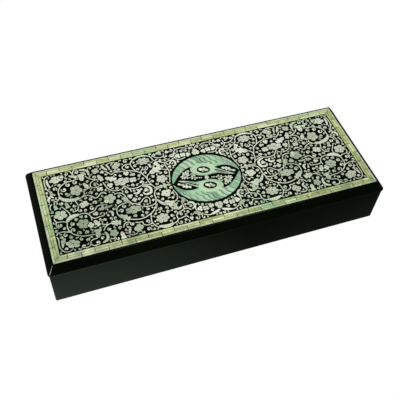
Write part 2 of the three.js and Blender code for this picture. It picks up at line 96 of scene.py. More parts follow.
# Linings. The pad is cut this often along and across.
PAD_CUTS = (47, 17)
PAD_CROWN = 0.5
PAD_CORNER = 0.8
PAD_ROLL = 0.45
CLOTH_CORNER = 0.6
CLOTH_ARRIS = 0.25

# Shell and its border of tiles
SHELL_TOP = BORDER_HIGH.z
GROUND = SHELL_TOP - 0.02
SHELL_SUNK = 0.15
COURSE = 1.8
TILE_WIDTH = 1.55
TILE_LENGTH = 18.3
TILE_JOINT = 0.42
MITRE_JOINT = 0.3
LEAST_TILE = 3.5

# Field of the scroll and the medallion, as half sizes
FIELD_X = 114.1
FIELD_Y = 34.6
FIELD_EDGE = 0.25
MIDDLE_GAP = 0.2
MEDALLION_X = 25.6
MEDALLION_Y = 21.6
MEDALLION_GAP = 1.4


# ---- Camera, floor and light, in metres

CAMERA_PLACE = Vector((-0.11303, -0.25981, 0.37884))
CAMERA_RIGHT = Vector((0.94345, -0.32783, 0.04922))
CAMERA_UP = Vector((0.23199, 0.75896, 0.60841))
CAMERA_AHEAD = Vector((0.23681, 0.56259, -0.79209))
SENSOR_WIDTH = 36
LENS = 54.4
LENS_SHIFT = (-0.0005, 0.0007)

FLOOR_SIZE = 9
FLOOR_DROP = 0.0002
# Under its white the floor has painted light: a pale spot that darkens with the distance from there
PAINTED_LIGHT_SPOT = (-0.14, -0.09, 0)
PAINTED_FLOOR_LIGHT = [(0.03, (0.43, 0.57, 0.46)), (0.17, (0.03, 0.04, 0.03))]
FLOOR_GLOW = 1.025
# Share of the white that each kind of ray sees
FLOOR_RAYS = [("Is Camera Ray", 0.975), ("Is Glossy Ray", 0.03), ("Is Transmission Ray", 0.1)]
SURROUND_RAYS = [("Is Camera Ray", 1), ("Is Diffuse Ray", 0.25), ("Is Glossy Ray", 0.03),
                 ("Is Transmission Ray", 0.03)]
# Lamps: name, place, target, length and width, power
LAMPS = [("soft_box_above", (0.3, 0.05, 1.45), (0, 0, 0), (0.9, 0.7), 16),
         ("key_left", (-0.98, -0.57, 0.48), (-0.1, 0, 0), (0.36, 0.36), 6.5)]


def add_camera():
    """At the photograph's place, a little rolled, from the front left and well above."""
    camera = bpy.data.objects.new("camera", bpy.data.cameras.new("camera"))
    bpy.context.scene.collection.objects.link(camera)
    turn = Matrix((CAMERA_RIGHT, CAMERA_UP, -CAMERA_AHEAD)).transposed().to_4x4()
    camera.matrix_world = Matrix.Translation(CAMERA_PLACE) @ turn
    camera.data.sensor_width = SENSOR_WIDTH
    camera.data.lens = LENS
    camera.data.shift_x, camera.data.shift_y = LENS_SHIFT
    camera.data.clip_start, camera.data.clip_end = 0.01, 20
    bpy.context.scene.camera = camera


def add_lamp(name, place, target, size, power):
    lamp = bpy.data.objects.new(name, bpy.data.lights.new(name, "AREA"))
    bpy.context.scene.collection.objects.link(lamp)
    lamp.data.shape = "RECTANGLE"
    lamp.data.size, lamp.data.size_y = size
    lamp.data.energy = power
    lamp.location = place
    lamp.rotation_euler = (Vector(target) - Vector(place)).to_track_quat("-Z", "Y").to_euler()


def ray_share(tree, weights):
    """Sum of the Light Path ray kinds, each times its weight."""
    rays = put(tree, "ShaderNodeLightPath").outputs
    total = 0
    for kind, weight in weights:
        total = maths(tree, "MULTIPLY_ADD", rays[kind], weight, total)
    return total


def add_stage():
    """White floor that keeps a faint shadow, a white surround for the camera, and soft lamps.
    Under its white the floor has a painted pool of light, palest at the front left, which is what the
    lacquer mirrors."""
    bpy.ops.mesh.primitive_plane_add(size=FLOOR_SIZE, location=(0, 0, -FLOOR_DROP))
    floor = bpy.context.object
    floor.name = "studio_floor"
    material = bpy.data.materials.new("studio_white")
    material.use_nodes = True
    tree = material.node_tree
    tree.nodes.remove(tree.nodes["Principled BSDF"])
    away = distance(tree, put(tree, "ShaderNodeTexCoord").outputs["Object"], PAINTED_LIGHT_SPOT)
    # The floor's diffuse colour is painted light, palest at the spot and darker away from it; the
    # lacquer's reflections see it under the white
    plain = put(tree, "ShaderNodeBsdfDiffuse", {"Color": ramp(tree, away, PAINTED_FLOOR_LIGHT)}).outputs[0]
    glow = put(tree, "ShaderNodeEmission", {"Strength": FLOOR_GLOW}).outputs[0]
    mix = put(tree, "ShaderNodeMixShader", {"Fac": ray_share(tree, FLOOR_RAYS), 1: plain, 2: glow})
    tree.links.new(mix.outputs[0], tree.nodes["Material Output"].inputs["Surface"])
    floor.data.materials.append(material)

    world = bpy.data.worlds.new("surround")
    world.use_nodes = True
    bpy.context.scene.world = world
    tree = world.node_tree
    surround = tree.nodes["Background"].inputs
    surround["Color"].default_value = (1, 1, 1, 1)
    tree.links.new(ray_share(tree, SURROUND_RAYS), surround["Strength"])

    for lamp in LAMPS:
        add_lamp(*lamp)
    bpy.context.scene.view_settings.view_transform = "Standard"


# ---- Shader groups and materials

# Sines across the wandering bands of the shell, and how much finer its sparks are than its bands
BAND_TURNS = 26.0
SPARK_FINENESS = 9.0
# How far a piece's tone moves its bands, in metres
TONE_SHIFT = 0.05

# Soft tint of the shell over the whole lid (Green, Rose), with painted shade (Shade) and painted light
# (Light) that darken and lighten the shell by region: x, y and reach of each spot, in millimetres
TINT_AND_LIGHT_SPOTS = {
    "Green": [(36, -38, 30), (-113, 2, 24), (-44, 39, 20), (96, 34, 16), (-23, 6, 9), (17, -13, 8)],
    "Rose": [(111, -27, 12), (-69, -31, 6), (40, -20, 8), (-12, 15, 7), (20, 10, 10), (24, -6, 6)],
    "Shade": [(-102, -26, 38), (-68, -4, 26), (-78, 7, 26), (-70, -38, 24), (70, 4, 20), (98, -54, 57),
              (34, -56, 36), (-30, -56, 32)],
    "Light": [(-30, 30, 44), (20, 30, 40), (-8, 20, 30), (-48, 32, 20), (48, 32, 20), (-66, 16, 14),
              (64, 16, 14), (-52, 6, 22), (50, 4, 18)],
}
# Colours of the painted shade, the painted light and the green tint, and how strongly the painted shade
# shows
SHADE, LIGHT, GREEN = (0.16, 0.24, 0.14), (0.86, 0.92, 0.78), (0.26, 0.56, 0.33)
SHADE_SHARE = 0.9

LACQUER_TONES = [(0.35, (0.0008, 0.0018, 0.0003)), (0.7, (0.0019, 0.0036, 0.0009))]

# Cut shell. Tones are the colours that the attribute shell_tone picks from, dark is the colour of the
# bands and light that of the sparks, and the shares say how strongly each shows.
SHELLS = {
    "pale_shell": dict(
        tones=[(0.0, (0.36, 0.42, 0.30)), (0.35, (0.435, 0.50, 0.355)), (0.7, (0.61, 0.67, 0.50)),
               (1.0, (0.75, 0.80, 0.62))],
        light=(0.77, 0.82, 0.70), dark=(0.32, 0.40, 0.29), scale=90.0, warp=0.35, painted_light_share=0.85),
    "border_shell": dict(
        tones=[(0.0, (0.31, 0.39, 0.12)), (0.3, (0.44, 0.51, 0.20)), (0.65, (0.57, 0.62, 0.30)),
               (0.9, (0.76, 0.79, 0.49)), (1.0, (0.46, 0.56, 0.28))],
        light=(0.84, 0.88, 0.58), dark=(0.24, 0.34, 0.10), scale=60.0, warp=0.4, band_share=0.55,
        spark_share=0.6),
    "edge_shell": dict(
        tones=[(0.0, (0.40, 0.46, 0.23)), (0.5, (0.52, 0.57, 0.33)), (1.0, (0.46, 0.54, 0.31))],
        light=(0.76, 0.80, 0.64), dark=(0.22, 0.30, 0.16), scale=60.0, warp=0.4, band_share=0.55,
        spark_share=0.6),
    "green_shell": dict(
        tones=[(0.0, (0.015, 0.05, 0.03)), (0.25, (0.18, 0.34, 0.21)), (0.5, (0.38, 0.59, 0.37)),
               (0.75, (0.55, 0.71, 0.46)), (1.0, (0.78, 0.84, 0.68))],
        light=(0.66, 0.76, 0.50), dark=(0.10, 0.30, 0.21), scale=42.0, warp=0.5, band_share=0.3,
        spark_share=0.25, rose=(0.52, 0.56, 0.42)),
}


def put(tree, kind, inputs=(), **settings):
    """Adds a node, sets it, and links or fills its inputs."""
    node = tree.nodes.new(kind)
    for key, value in settings.items():
        setattr(node, key, value)
    for label, value in dict(inputs).items():
        if isinstance(value, bpy.types.NodeSocket):
            tree.links.new(value, node.inputs[label])
        else:
            node.inputs[label].default_value = value
    return node


def maths(tree, operation, *values):
    return put(tree, "ShaderNodeMath", dict(enumerate(values)), operation=operation).outputs[0]


def distance(tree, place, spot):
    return put(tree, "ShaderNodeVectorMath", {0: place, 1: spot}, operation="DISTANCE").outputs["Value"]


def noise(tree, place, scale, detail, **more):
    inputs = {"Vector": place, "Scale": scale, "Detail": detail, **more}
    return put(tree, "ShaderNodeTexNoise", inputs).outputs["Fac"]


def spread(tree, value, low, high, to_low=0.0, to_high=1.0):
    """Moves a value from one range to another and cuts it off at the ends."""
    return put(tree, "ShaderNodeMapRange", {"Value": value, "From Min": low, "From Max": high,
                                            "To Min": to_low, "To Max": to_high}).outputs[0]


def ramp(tree, factor, stops):
    node = put(tree, "ShaderNodeValToRGB", {"Fac": factor})
    band = node.color_ramp
    while len(band.elements) < len(stops):
        band.elements.new(0.5)
    for element, (place, colour) in zip(band.elements, stops):
        element.position = place
        element.color = (*colour, 1)
    return node.outputs["Color"]


def new_group(name, values, masks):
    """A shader group that takes a place and named values and puts out named masks."""
    group = bpy.data.node_groups.new(name, "ShaderNodeTree")
    group.interface.new_socket("Vector", in_out="INPUT", socket_type="NodeSocketVector")
    for label, value in values.items():
        socket = group.interface.new_socket(label, in_out="INPUT", socket_type="NodeSocketFloat")
        socket.default_value = value
    for label in masks:
        group.interface.new_socket(label, in_out="OUTPUT", socket_type="NodeSocketFloat")
    return group, group.nodes.new("NodeGroupInput").outputs, group.nodes.new("NodeGroupOutput").inputs


def use_group(tree, name, **inputs):
    return put(tree, "ShaderNodeGroup", inputs, node_tree=bpy.data.node_groups[name]).outputs


def make_shell_fire():
    """Growth bands and sparkle of cut shell. Bands wander across the piece, sparks are small and sharp."""
    group, entry, leave = new_group("shell_fire", {"Scale": 300.0, "Warp": 0.6, "Shift": 0.0},
                                    ("Bands", "Sparks"))
    shift = put(group, "ShaderNodeCombineXYZ", {"Z": entry["Shift"]}).outputs[0]
    moved = put(group, "ShaderNodeVectorMath", {0: entry["Vector"], 1: shift}, operation="ADD").outputs[0]
    drift = noise(group, moved, entry["Scale"], 3.0, Roughness=0.55)
    turns = maths(group, "MULTIPLY", maths(group, "MULTIPLY", drift, entry["Warp"]), BAND_TURNS)
    bands = maths(group, "MULTIPLY_ADD", maths(group, "SINE", turns), 0.5, 0.5)
    grit = noise(group, moved, maths(group, "MULTIPLY", entry["Scale"], SPARK_FINENESS), 2.0)
    group.links.new(bands, leave["Bands"])
    group.links.new(spread(group, grit, 0.45, 0.75), leave["Sparks"])


def make_shell_tints_and_light():
    """A mask for each soft tint and for the painted shade and painted light, strongest at the middle of
    its spots and broken up by clouds.
    """
    group, entry, leave = new_group("shell_tints_and_light", {}, TINT_AND_LIGHT_SPOTS)
    broken = spread(group, noise(group, entry["Vector"], 130.0, 2.0), 0.35, 0.6)
    for label, spots in TINT_AND_LIGHT_SPOTS.items():
        mask = 0.0
        for x, y, reach in spots:
            away = distance(group, entry["Vector"], (x * MM, y * MM, SHELL_TOP * MM))
            mask = maths(group, "MAXIMUM", spread(group, away, reach * MM, 0.0), mask)
        group.links.new(maths(group, "MULTIPLY", mask, broken), leave[label])


def make_hand_polish():
    """Soft clouds and fine rubbing marks left by polishing, as roughness and height."""
    group, entry, leave = new_group("hand_polish", {"Low": 0.08, "High": 0.16}, ("Roughness", "Height"))
    clouds = noise(group, entry["Vector"], 45.0, 3.0)
    rubbed = put(group, "ShaderNodeMapping", {"Vector": entry["Vector"], "Scale": (60.0, 900.0, 900.0)})
    blend = maths(group, "MULTIPLY_ADD", noise(group, rubbed.outputs[0], 1.0, 2.0), 0.35, clouds)
    group.links.new(spread(group, blend, 0.45, 0.9, entry["Low"], entry["High"]), leave["Roughness"])
    group.links.new(clouds, leave["Height"])


def start_material(name, values):
    """A material with these plain values on its shader."""
    material = bpy.data.materials.new(name)
    material.use_nodes = True
    tree = material.node_tree
    shader = tree.nodes["Principled BSDF"].inputs
    for label, value in values.items():
        shader[label].default_value = value
    return material, tree, shader, put(tree, "ShaderNodeTexCoord").outputs["Object"]


def polish(tree, shader, place, low, high, depth):
    """Hand polish on a shader: its range of roughness, and the depth of its marks in metres."""
    marks = use_group(tree, "hand_polish", Vector=place, Low=low, High=high)
    bump = put(tree, "ShaderNodeBump", {"Height": marks["Height"], "Distance": depth, "Strength": 1.0})
    tree.links.new(marks["Roughness"], shader["Roughness"])
    tree.links.new(bump.outputs[0], shader["Normal"])


def make_lacquer():
    """Deep black lacquer, faintly warm and green in the depth, with a hand-rubbed gloss."""
    material, tree, shader, place = start_material("black_lacquer", {
        "Specular IOR Level": 0.27, "Specular Tint": (0.96, 1.0, 0.9, 1)})
    tree.links.new(ramp(tree, noise(tree, place, 25.0, 4.0), LACQUER_TONES), shader["Base Color"])
    polish(tree, shader, place, 0.07, 0.16, 0.00002)
    return material


def make_shell(name, tones, light, dark, scale, warp, band_share=0.45, spark_share=0.5, blush=0.5,
               rose=(0.70, 0.44, 0.42), painted_light_share=0.0):
    """Cut shell. Each piece has its own tone from the attribute shell_tone, with bands and sparks over it
    and a soft tint, painted shade and painted light that run on over many pieces."""
    material, tree, shader, place = start_material(name, {
        "Specular IOR Level": 0.45, "Coat Weight": 0.15, "Coat Roughness": 0.08})
    tone = put(tree, "ShaderNodeAttribute", attribute_name="shell_tone").outputs["Fac"]
    colour = ramp(tree, tone, tones)
    fire = use_group(tree, "shell_fire", Vector=place, Shift=maths(tree, "MULTIPLY", tone, TONE_SHIFT),
                     Scale=scale, Warp=warp)
    spot_masks = use_group(tree, "shell_tints_and_light", Vector=place)
    # Shade and Light mix in painted shade and painted light by region; Green and Rose are the shell's own
    # tint
    for mask, share, target in ((fire["Bands"], band_share, dark), (fire["Sparks"], spark_share, light),
                                (spot_masks["Shade"], SHADE_SHARE, SHADE), (spot_masks["Light"], painted_light_share, LIGHT),
                                (spot_masks["Green"], blush, GREEN), (spot_masks["Rose"], blush, rose)):
        # Sockets 6 and 7 of a Mix node are its two colours, and output 2 the mixed one
        colour = put(tree, "ShaderNodeMix", {"Factor": maths(tree, "MULTIPLY", mask, share), 6: colour,
                                             7: (*target, 1)}, data_type="RGBA").outputs[2]
    tree.links.new(colour, shader["Base Color"])
    polish(tree, shader, place, 0.2, 0.33, 0.00001)
    return material


def make_velvet(name, colour, pile):
    """Short cotton pile, with fine and coarse clouds in its nap."""
    material, tree, shader, place = start_material(name, {
        "Roughness": 0.95, "Specular IOR Level": 0.1, "Sheen Weight": 0.35, "Sheen Roughness": 0.4,
        "Sheen Tint": (*pile, 1)})
    nap = maths(tree, "MULTIPLY_ADD", noise(tree, place, 2600.0, 2.0), 0.5, noise(tree, place, 60.0, 3.0))
    tones = ramp(tree, nap, [(0.45, tuple(0.55 * part for part in colour)), (1.0, pile)])
    tree.links.new(tones, shader["Base Color"])
    bump = put(tree, "ShaderNodeBump", {"Height": nap, "Distance": 0.00015, "Strength": 0.8})
    tree.links.new(bump.outputs[0], shader["Normal"])
    return material


# ---- Modelling tools

def clear_selection():
    bpy.ops.object.select_all(action="DESELECT")


def choose(piece):
    """Selects one piece alone and makes it the one that operators act on."""
    clear_selection()
    piece.select_set(True)
    bpy.context.view_layer.objects.active = piece


def start_block(name, low, high):
    """A block between two corners, in millimetres, left in edit mode with nothing selected."""
    clear_selection()
    middle = (low + high) / 2
    bpy.ops.mesh.primitive_cube_add(size=1, location=middle * MM)
    piece = bpy.context.object
    piece.name = name
    piece.scale = (high - low) * MM
    bpy.ops.object.transform_apply(location=True, rotation=True, scale=True)
    bpy.ops.object.mode_set(mode="EDIT")
    bpy.ops.mesh.select_all(action="DESELECT")
    return piece


def pick(piece, kind, test):
    """Selects the faces, edges or vertices whose middle, in millimetres, passes a test. The test is also
    given the normal, or for an edge its length and direction."""
    bpy.ops.mesh.select_all(action="DESELECT")
    bpy.ops.mesh.select_mode(type=kind)
    mesh = bmesh.from_edit_mesh(piece.data)
    if kind == "FACE":
        for face in mesh.faces:
            face.select_set(test(face.calc_center_median() / MM, face.normal))
    elif kind == "EDGE":
        for edge in mesh.edges:
            ends = [vertex.co / MM for vertex in edge.verts]
            edge.select_set(test((ends[0] + ends[1]) / 2, ends[1] - ends[0]))
    else:
        for vertex in mesh.verts:
            vertex.select_set(test(vertex.co / MM, vertex.normal))
    mesh.select_flush_mode()
    bmesh.update_edit_mesh(piece.data)


def pick_vertices(piece, chosen, test):
    """Selects those of the chosen vertices whose place passes a test."""
    bpy.ops.mesh.select_all(action="DESELECT")
    bpy.ops.mesh.select_mode(type="VERT")
    mesh = bmesh.from_edit_mesh(piece.data)
    mesh.verts.ensure_lookup_table()
    for index in chosen:
        mesh.verts[index].select_set(test(mesh.verts[index].co))
    mesh.select_flush_mode()
    bmesh.update_edit_mesh(piece.data)


def pick_middle(piece, height=None):
    """Selects the level faces in the middle of the plan, at one height or at any."""
    pick(piece, "FACE", lambda place, normal: abs(normal.z) > 0.9 and abs(place.x) < 1 and abs(place.y) < 1
         and (height is None or near(place.z, height)))


def soften(piece, width, segments, test):
    """Rounds the edges that pass a test."""
    pick(piece, "EDGE", test)
    bpy.ops.mesh.bevel(offset=width * MM, segments=segments, affect="EDGES")


def near(first, second, slack=0.02):
    return abs(first - second) < slack


def upright(place, along):
    return abs(along.z) > 0.5


def on_outline(place, half):
    return near(abs(place.x), half.x) or near(abs(place.y), half.y)


def finish_piece(piece, body, material, slot, *nodes, smooth=35):
    """Leaves edit mode, smooths the shading over soft arrises, and gives the piece its body and finish."""
    bpy.ops.object.mode_set(mode="OBJECT")
    choose(piece)
    bpy.ops.object.shade_smooth_by_angle(angle=math.radians(smooth))
    hand_over(piece, body, material, slot, *nodes)


def hand_over(piece, body, material, slot, *nodes):
    """Gives a finished piece its material and its body, and hides the nodes that it stands for."""
    piece.data.materials.clear()
    piece.data.materials.append(material)
    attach(piece, body)
    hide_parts(*nodes)


# ---- Base and lid

def sink_square(piece, upward, level, inner_x, inner_y, depth):
    """Insets the flat top or bottom to a square-cornered outline of these half sizes and moves it in."""
    pick(piece, "FACE", lambda place, normal: normal.z * upward > 0.999 and near(place.z, level))
    vertices = bmesh.from_edit_mesh(piece.data).verts
    flat_x = max(abs(vertex.co.x) for vertex in vertices if vertex.select) / MM
    bpy.ops.mesh.inset(thickness=(flat_x - inner_x) * MM, depth=0)
    inner = {vertex.index for vertex in bmesh.from_edit_mesh(piece.data).verts if vertex.select}
    for side_x in (1, -1):
        for side_y in (1, -1):
            pick_vertices(piece, inner, lambda place: place.x * side_x > 0 and place.y * side_y > 0)
            corner = Vector((side_x * inner_x, side_y * inner_y, level)) * MM
            bpy.ops.transform.resize(value=(0, 0, 1), center_override=corner)
    bpy.ops.mesh.select_all(action="SELECT")
    bpy.ops.mesh.remove_doubles(threshold=0.01 * MM)
    pick_middle(piece, level)
    bpy.ops.mesh.extrude_region_move(TRANSFORM_OT_translate={"value": (0, 0, -upward * depth * MM)})


def make_base_case(material):
    """The four walls as one lacquered case, with its cavity and the rebate for the floor board."""
    case = start_block("base_case", BASE_LOW, BASE_HIGH)
    soften(case, BASE_CORNER, 6, upright)
    soften(case, BASE_ARRIS, 3, lambda place, along: near(place.z, BASE_LOW.z))
    soften(case, MOUTH_ARRIS, 2, lambda place, along: near(place.z, BASE_HIGH.z))
    cavity_x, cavity_y = BASE_HIGH.x - WALL, BASE_HIGH.y - WALL
    sink_square(case, 1, BASE_HIGH.z, cavity_x, cavity_y, BASE_HIGH.z - (FLOOR_HIGH.z + WEB))
    rebate_x, rebate_y = FLOOR_HIGH.x + REBATE_JOINT, FLOOR_HIGH.y + REBATE_JOINT
    sink_square(case, -1, BASE_LOW.z, rebate_x, rebate_y, FLOOR_HIGH.z)
    pick_middle(case, FLOOR_HIGH.z)
    bpy.ops.mesh.inset(thickness=(rebate_x - cavity_x) * MM, depth=0)
    pick_middle(case)
    bpy.ops.mesh.bridge_edge_loops()
    finish_piece(case, "base", material, "lacquer", *all_sides("base_wall"))


def make_lip(material):
    """The inner strips as one frame that stands proud of the walls, softened where the lid slips over."""
    lip = start_block("lid_locating_lip", LIP_LOW, LIP_HIGH)
    for side in (1, -1):
        pick(lip, "FACE", lambda place, normal: normal.z * side > 0.9)
        bpy.ops.mesh.inset(thickness=LIP_WALL * MM, depth=0)
    pick_middle(lip)
    bpy.ops.mesh.bridge_edge_loops()
    inner = LIP_HIGH - Vector((LIP_WALL, LIP_WALL, 0))
    for half, width, segments in ((LIP_HIGH, LIP_ARRIS, 3), (inner, LIP_INNER_ARRIS, 2)):
        soften(lip, width, segments, lambda place, along: near(place.z, LIP_HIGH.z)
               and abs(along.z) < 0.01 and on_outline(place, half))
    finish_piece(lip, "base", material, "lacquer", *all_sides("base_liner"))


def make_lid_case(material):
    """Lid frame and panel as one lacquered body: upright rim, steep bevel, and a flat ground just under
    the face of the shell."""
    high = Vector((LID_HIGH.x, LID_HIGH.y, LID_LOW.z + RIM_EDGE))
    lid = start_block("lid_case", LID_LOW, high)
    soften(lid, RIM_CORNER, 6, upright)
    pick(lid, "FACE", lambda place, normal: normal.z > 0.9)
    bpy.ops.mesh.extrude_region_move(TRANSFORM_OT_translate={"value": (0, 0, (GROUND - high.z) * MM)})
    share_x = 1 - BEVEL_RUN / high.x
    share_y = 1 - BEVEL_RUN / high.y
    bpy.ops.transform.resize(value=(share_x, share_y, 1))
    top_x, top_y = high.x - BEVEL_RUN, high.y - BEVEL_RUN
    squeeze_x = TOP_CORNER / (RIM_CORNER * share_x)
    squeeze_y = TOP_CORNER / (RIM_CORNER * share_y)
    for side_x in (1, -1):
        for side_y in (1, -1):
            pick(lid, "VERT", lambda place, normal: near(place.z, GROUND)
                 and place.x * side_x > top_x - CORNER_REACH and place.y * side_y > top_y - CORNER_REACH)
            corner = Vector((side_x * top_x, side_y * top_y, GROUND)) * MM
            bpy.ops.transform.resize(value=(squeeze_x, squeeze_y, 1), center_override=corner)
    for height, width in ((high.z, LID_ARRIS), (GROUND, TOP_ARRIS), (LID_LOW.z, RIM_UNDER_ARRIS)):
        soften(lid, width, 3, lambda place, along: near(place.z, height) and abs(along.z) < 0.01)
    pocket_x, pocket_y = LID_HIGH.x - LID_POCKET, LID_HIGH.y - LID_POCKET
    sink_square(lid, -1, LID_LOW.z, pocket_x, pocket_y, PANEL_LOW.z - LID_LOW.z)
    finish_piece(lid, "lid", material, "lacquer", *all_sides("lid_rail"), "lid_panel")


# ---- Border of cut tiles

# Tones of the tiles along each side, quarter by quarter: the lowest, and a power that is higher for darker
# tiles. The tone within a quarter is random; the quarters add painted shade, darker on the front right and
# along the right side and lighter at the front left.
TILE_TONES_WITH_SHADE = {"front": ((0.4, 1), (0, 2.2), (0, 6), (0, 4)), "back": ((0.25, 1), (0, 1), (0.3, 1), (0, 1)),
              "left": ((0.2, 1), (0.2, 1), (0, 1), (0, 1)), "right": ((0, 5), (0, 5), (0, 2.5), (0, 2.5))}


def tile_plan(side, row, start, end):
    """Plan corners of one tile: its stretch along the side, cut at 45 degrees at the border's corners."""
    half_x, half_y = BORDER_HIGH.x, BORDER_HIGH.y
    half = half_x if side in ("front", "back") else half_y
    outer = row * COURSE + (COURSE - TILE_WIDTH) / 2
    low, high = start + TILE_JOINT / 2, end - TILE_JOINT / 2
    corners = []
    for depth, ends in ((outer, (low, high)), (outer + TILE_WIDTH, (high, low))):
        limit = half - depth - MITRE_JOINT / 2
        corners += [(min(max(edge, -limit), limit), depth) for edge in ends]
    turn = {"front": lambda u, v: (u, v - half_y), "back": lambda u, v: (-u, half_y - v),
            "left": lambda u, v: (v - half_x, -u), "right": lambda u, v: (half_x - v, u)}[side]
    return [turn(u, v) for u, v in corners]


def cut_tile(unit, plan, depth):
    """A copy of the unit block with its four upright edges moved to the plan corners."""
    tile = unit.copy()
    tile.data = unit.data.copy()
    bpy.context.scene.collection.objects.link(tile)
    for vertex in tile.data.vertices:
        ends = plan[:2] if vertex.co.y < 0.5 * MM else plan[:1:-1]
        x, y = ends[0] if vertex.co.x < 0.5 * MM else ends[1]
        vertex.co.x, vertex.co.y = x * MM, y * MM
    tone = tile.data.attributes.new("shell_tone", "FLOAT", "FACE")
    tone.data.foreach_set("value", [depth] * len(tile.data.polygons))
    return tile


def make_border(material_inner, material_outer):
    """Three courses on each side. Joints stand half a tile apart and cut two courses at a time."""
    unit = start_block("tile", Vector((0, 0, SHELL_TOP - SHELL_SUNK)), Vector((1, 1, SHELL_TOP)))
    bpy.ops.object.mode_set(mode="OBJECT")
    dice = random.Random(11)
    for row, course in enumerate(("outer", "middle", "inner")):
        for side in SIDES:
            half = BORDER_HIGH.x if side in ("front", "back") else BORDER_HIGH.y
            joints = [k * TILE_LENGTH / 2 for k in range(-14, 15)
                      if course == "middle" or (k % 2 == 0) == (course == "inner")]
            stops = [-half - 1, *(joint for joint in joints if abs(joint) < half - LEAST_TILE), half + 1]
            tiles = []
            for start, end in zip(stops, stops[1:]):
                middle = max(-half, min(half, (start + end) / 2))
                # A quarter's lowest tone and power lay painted shade over the random tone
                low, power = TILE_TONES_WITH_SHADE[side][int(2 + 1.99 * middle / half)]
                depth = low + (1 - low) * dice.random() ** power
                tiles.append(cut_tile(unit, tile_plan(side, row, start, end), depth))
            choose(tiles[0])
            for tile in tiles:
                tile.select_set(True)
            bpy.ops.object.join()
            strip = bpy.context.object
            strip.name = f"tiles_{course}_{side}"
            strip.data.name = strip.name
            hand_over(strip, "lid", material_outer if row == 0 else material_inner, "border_shell",
                      f"border_{course}_{side}")
    bpy.data.objects.remove(unit)


# ---- Plane shapes for the scroll, in millimetres. Each is a list of corner points.

def spline(points, step=0.45):
    """Smooth curve through the points, sampled at about the given step."""
    path = []
    guide = [points[0], *points, points[-1]]
    for before, start, end, after in zip(guide, guide[1:], guide[2:], guide[3:]):
        count = max(2, round(math.dist(start, end) / step))
        for i in range(count):
            t = i / count
            path.append(tuple(0.5 * (2 * b + (c - a) * t + (2 * a - 5 * b + 4 * c - d) * t * t
                                     + (3 * b - a - 3 * c + d) * t ** 3)
                              for a, b, c, d in zip(before, start, end, after)))
    return [*path, tuple(points[-1])]


def place_at(x, y, along, across, turn):
    """The point so far along and across a direction, in degrees, from a spot."""
    a = math.radians(turn)
    return (x + along * math.cos(a) - across * math.sin(a), y + along * math.sin(a) + across * math.cos(a))


def round_shape(x, y, radius_x, radius_y=None, count=14, turn=0.0):
    radius_y = radius_x if radius_y is None else radius_y
    return [place_at(x, y, radius_x * math.cos(a), radius_y * math.sin(a), turn)
            for a in (2 * math.pi * i / count for i in range(count))]


def petal_ring(x, y, radius_x, radius_y, petals, turn, notch=0.2, points=7):
    """Blossom outline with round petals."""
    outline = []
    for i in range(petals * points):
        angle = 2 * math.pi * i / (petals * points)
        share = 1 - notch * (1 - abs(math.sin(petals * angle / 2)) ** 0.7)
        along, across = radius_x * share * math.cos(angle), radius_y * share * math.sin(angle)
        outline.append(place_at(x, y, along, across, turn))
    return outline


def wedge(x, y, start, end, width):
    """Thin cut that narrows from its start to its end."""
    dx, dy = end[0] - start[0], end[1] - start[1]
    long = math.hypot(dx, dy)
    nx, ny = -dy / long * width / 2, dx / long * width / 2
    return [(x + start[0] + nx, y + start[1] + ny), (x + start[0] - nx, y + start[1] - ny),
            (x + end[0] - nx * 0.4, y + end[1] - ny * 0.4), (x + end[0] + nx * 0.4, y + end[1] + ny * 0.4)]


def lobed_leaf(x, y, length, width, turn, lobes=3, reach=0.0):
    """Leaf from its stalk to its tip, with pointed lobes that lean forward. Reach grows it all round."""
    side = []
    for i in range(lobes):
        t = (i + 0.15) / lobes
        swell = math.sin(math.pi * (0.18 + 0.74 * t)) * width / 2
        for ahead, out in ((0, 0.5), (0.42, 0.92), (0.72, 1.02)):
            side.append(((t + ahead / lobes) * length, swell * out + reach))
    outline = [(-reach, 0.0), *((a, -b) for a, b in side), (length + reach, 0.0), *reversed(side)]
    return [place_at(x, y, a, b, turn) for a, b in outline]


def strip_shapes(path, widths):
    """Strip along a path, as one small four-sided shape after another."""
    edges = []
    for i, (x, y) in enumerate(path):
        back, ahead = path[max(i - 1, 0)], path[min(i + 1, len(path) - 1)]
        dx, dy = ahead[0] - back[0], ahead[1] - back[1]
        long = math.hypot(dx, dy) or 1.0
        half = widths[i] / 2
        edges.append(((x - dy / long * half, y + dx / long * half),
                      (x + dy / long * half, y - dx / long * half)))
    shapes = []
    for (left, right), (next_left, next_right) in zip(edges, edges[1:]):
        corners = [Vector(corner) for corner in (right, next_right, next_left, left)]
        shapes.append([tuple(corners[i]) for i in geometry.convex_hull_2d(corners)])
    return shapes


def tapered(path, width, loss):
    """Widths along a path that loses so much of its first width."""
    return [width - loss * k / len(path) for k in range(len(path))]


def turned_outwards(outline):
    """The outline, anticlockwise."""
    area = sum(a[0] * b[1] - b[0] * a[1] for a, b in zip(outline, [*outline[1:], outline[0]]))
    return outline if area > 0 else outline[::-1]


# Corners closer together than this become one
WELD = 0.0005
# How far fillers may come over the field's edge and over the ring round the medallion
EDGE_SLACK = 0.9
RING_SLACK = 0.4
# Where the free room of the left half ends, and how far off a shape still matters to it
ROOM_END = -0.15
ROOM_REACH = 4.5
# Gaps past this x count as larger by a bonus, so the scroll is denser next to the medallion
DENSE_FROM = -34
DENSE_BONUS = 0.1
# Radius from which a filler may be a tendril or a trefoil, and the share of tendrils among them
TENDRIL_FROM = 1.1
TENDRIL_SHARE = 0.88
# Blossoms up to these half lengths have no engraving and no heart. Small ones are paler, and so are those
# within this x of the middle.
PLAIN_BLOSSOM = 2.6
HEARTLESS_BLOSSOM = 2.0
PALE_WITHIN = 36
PALER = 0.15


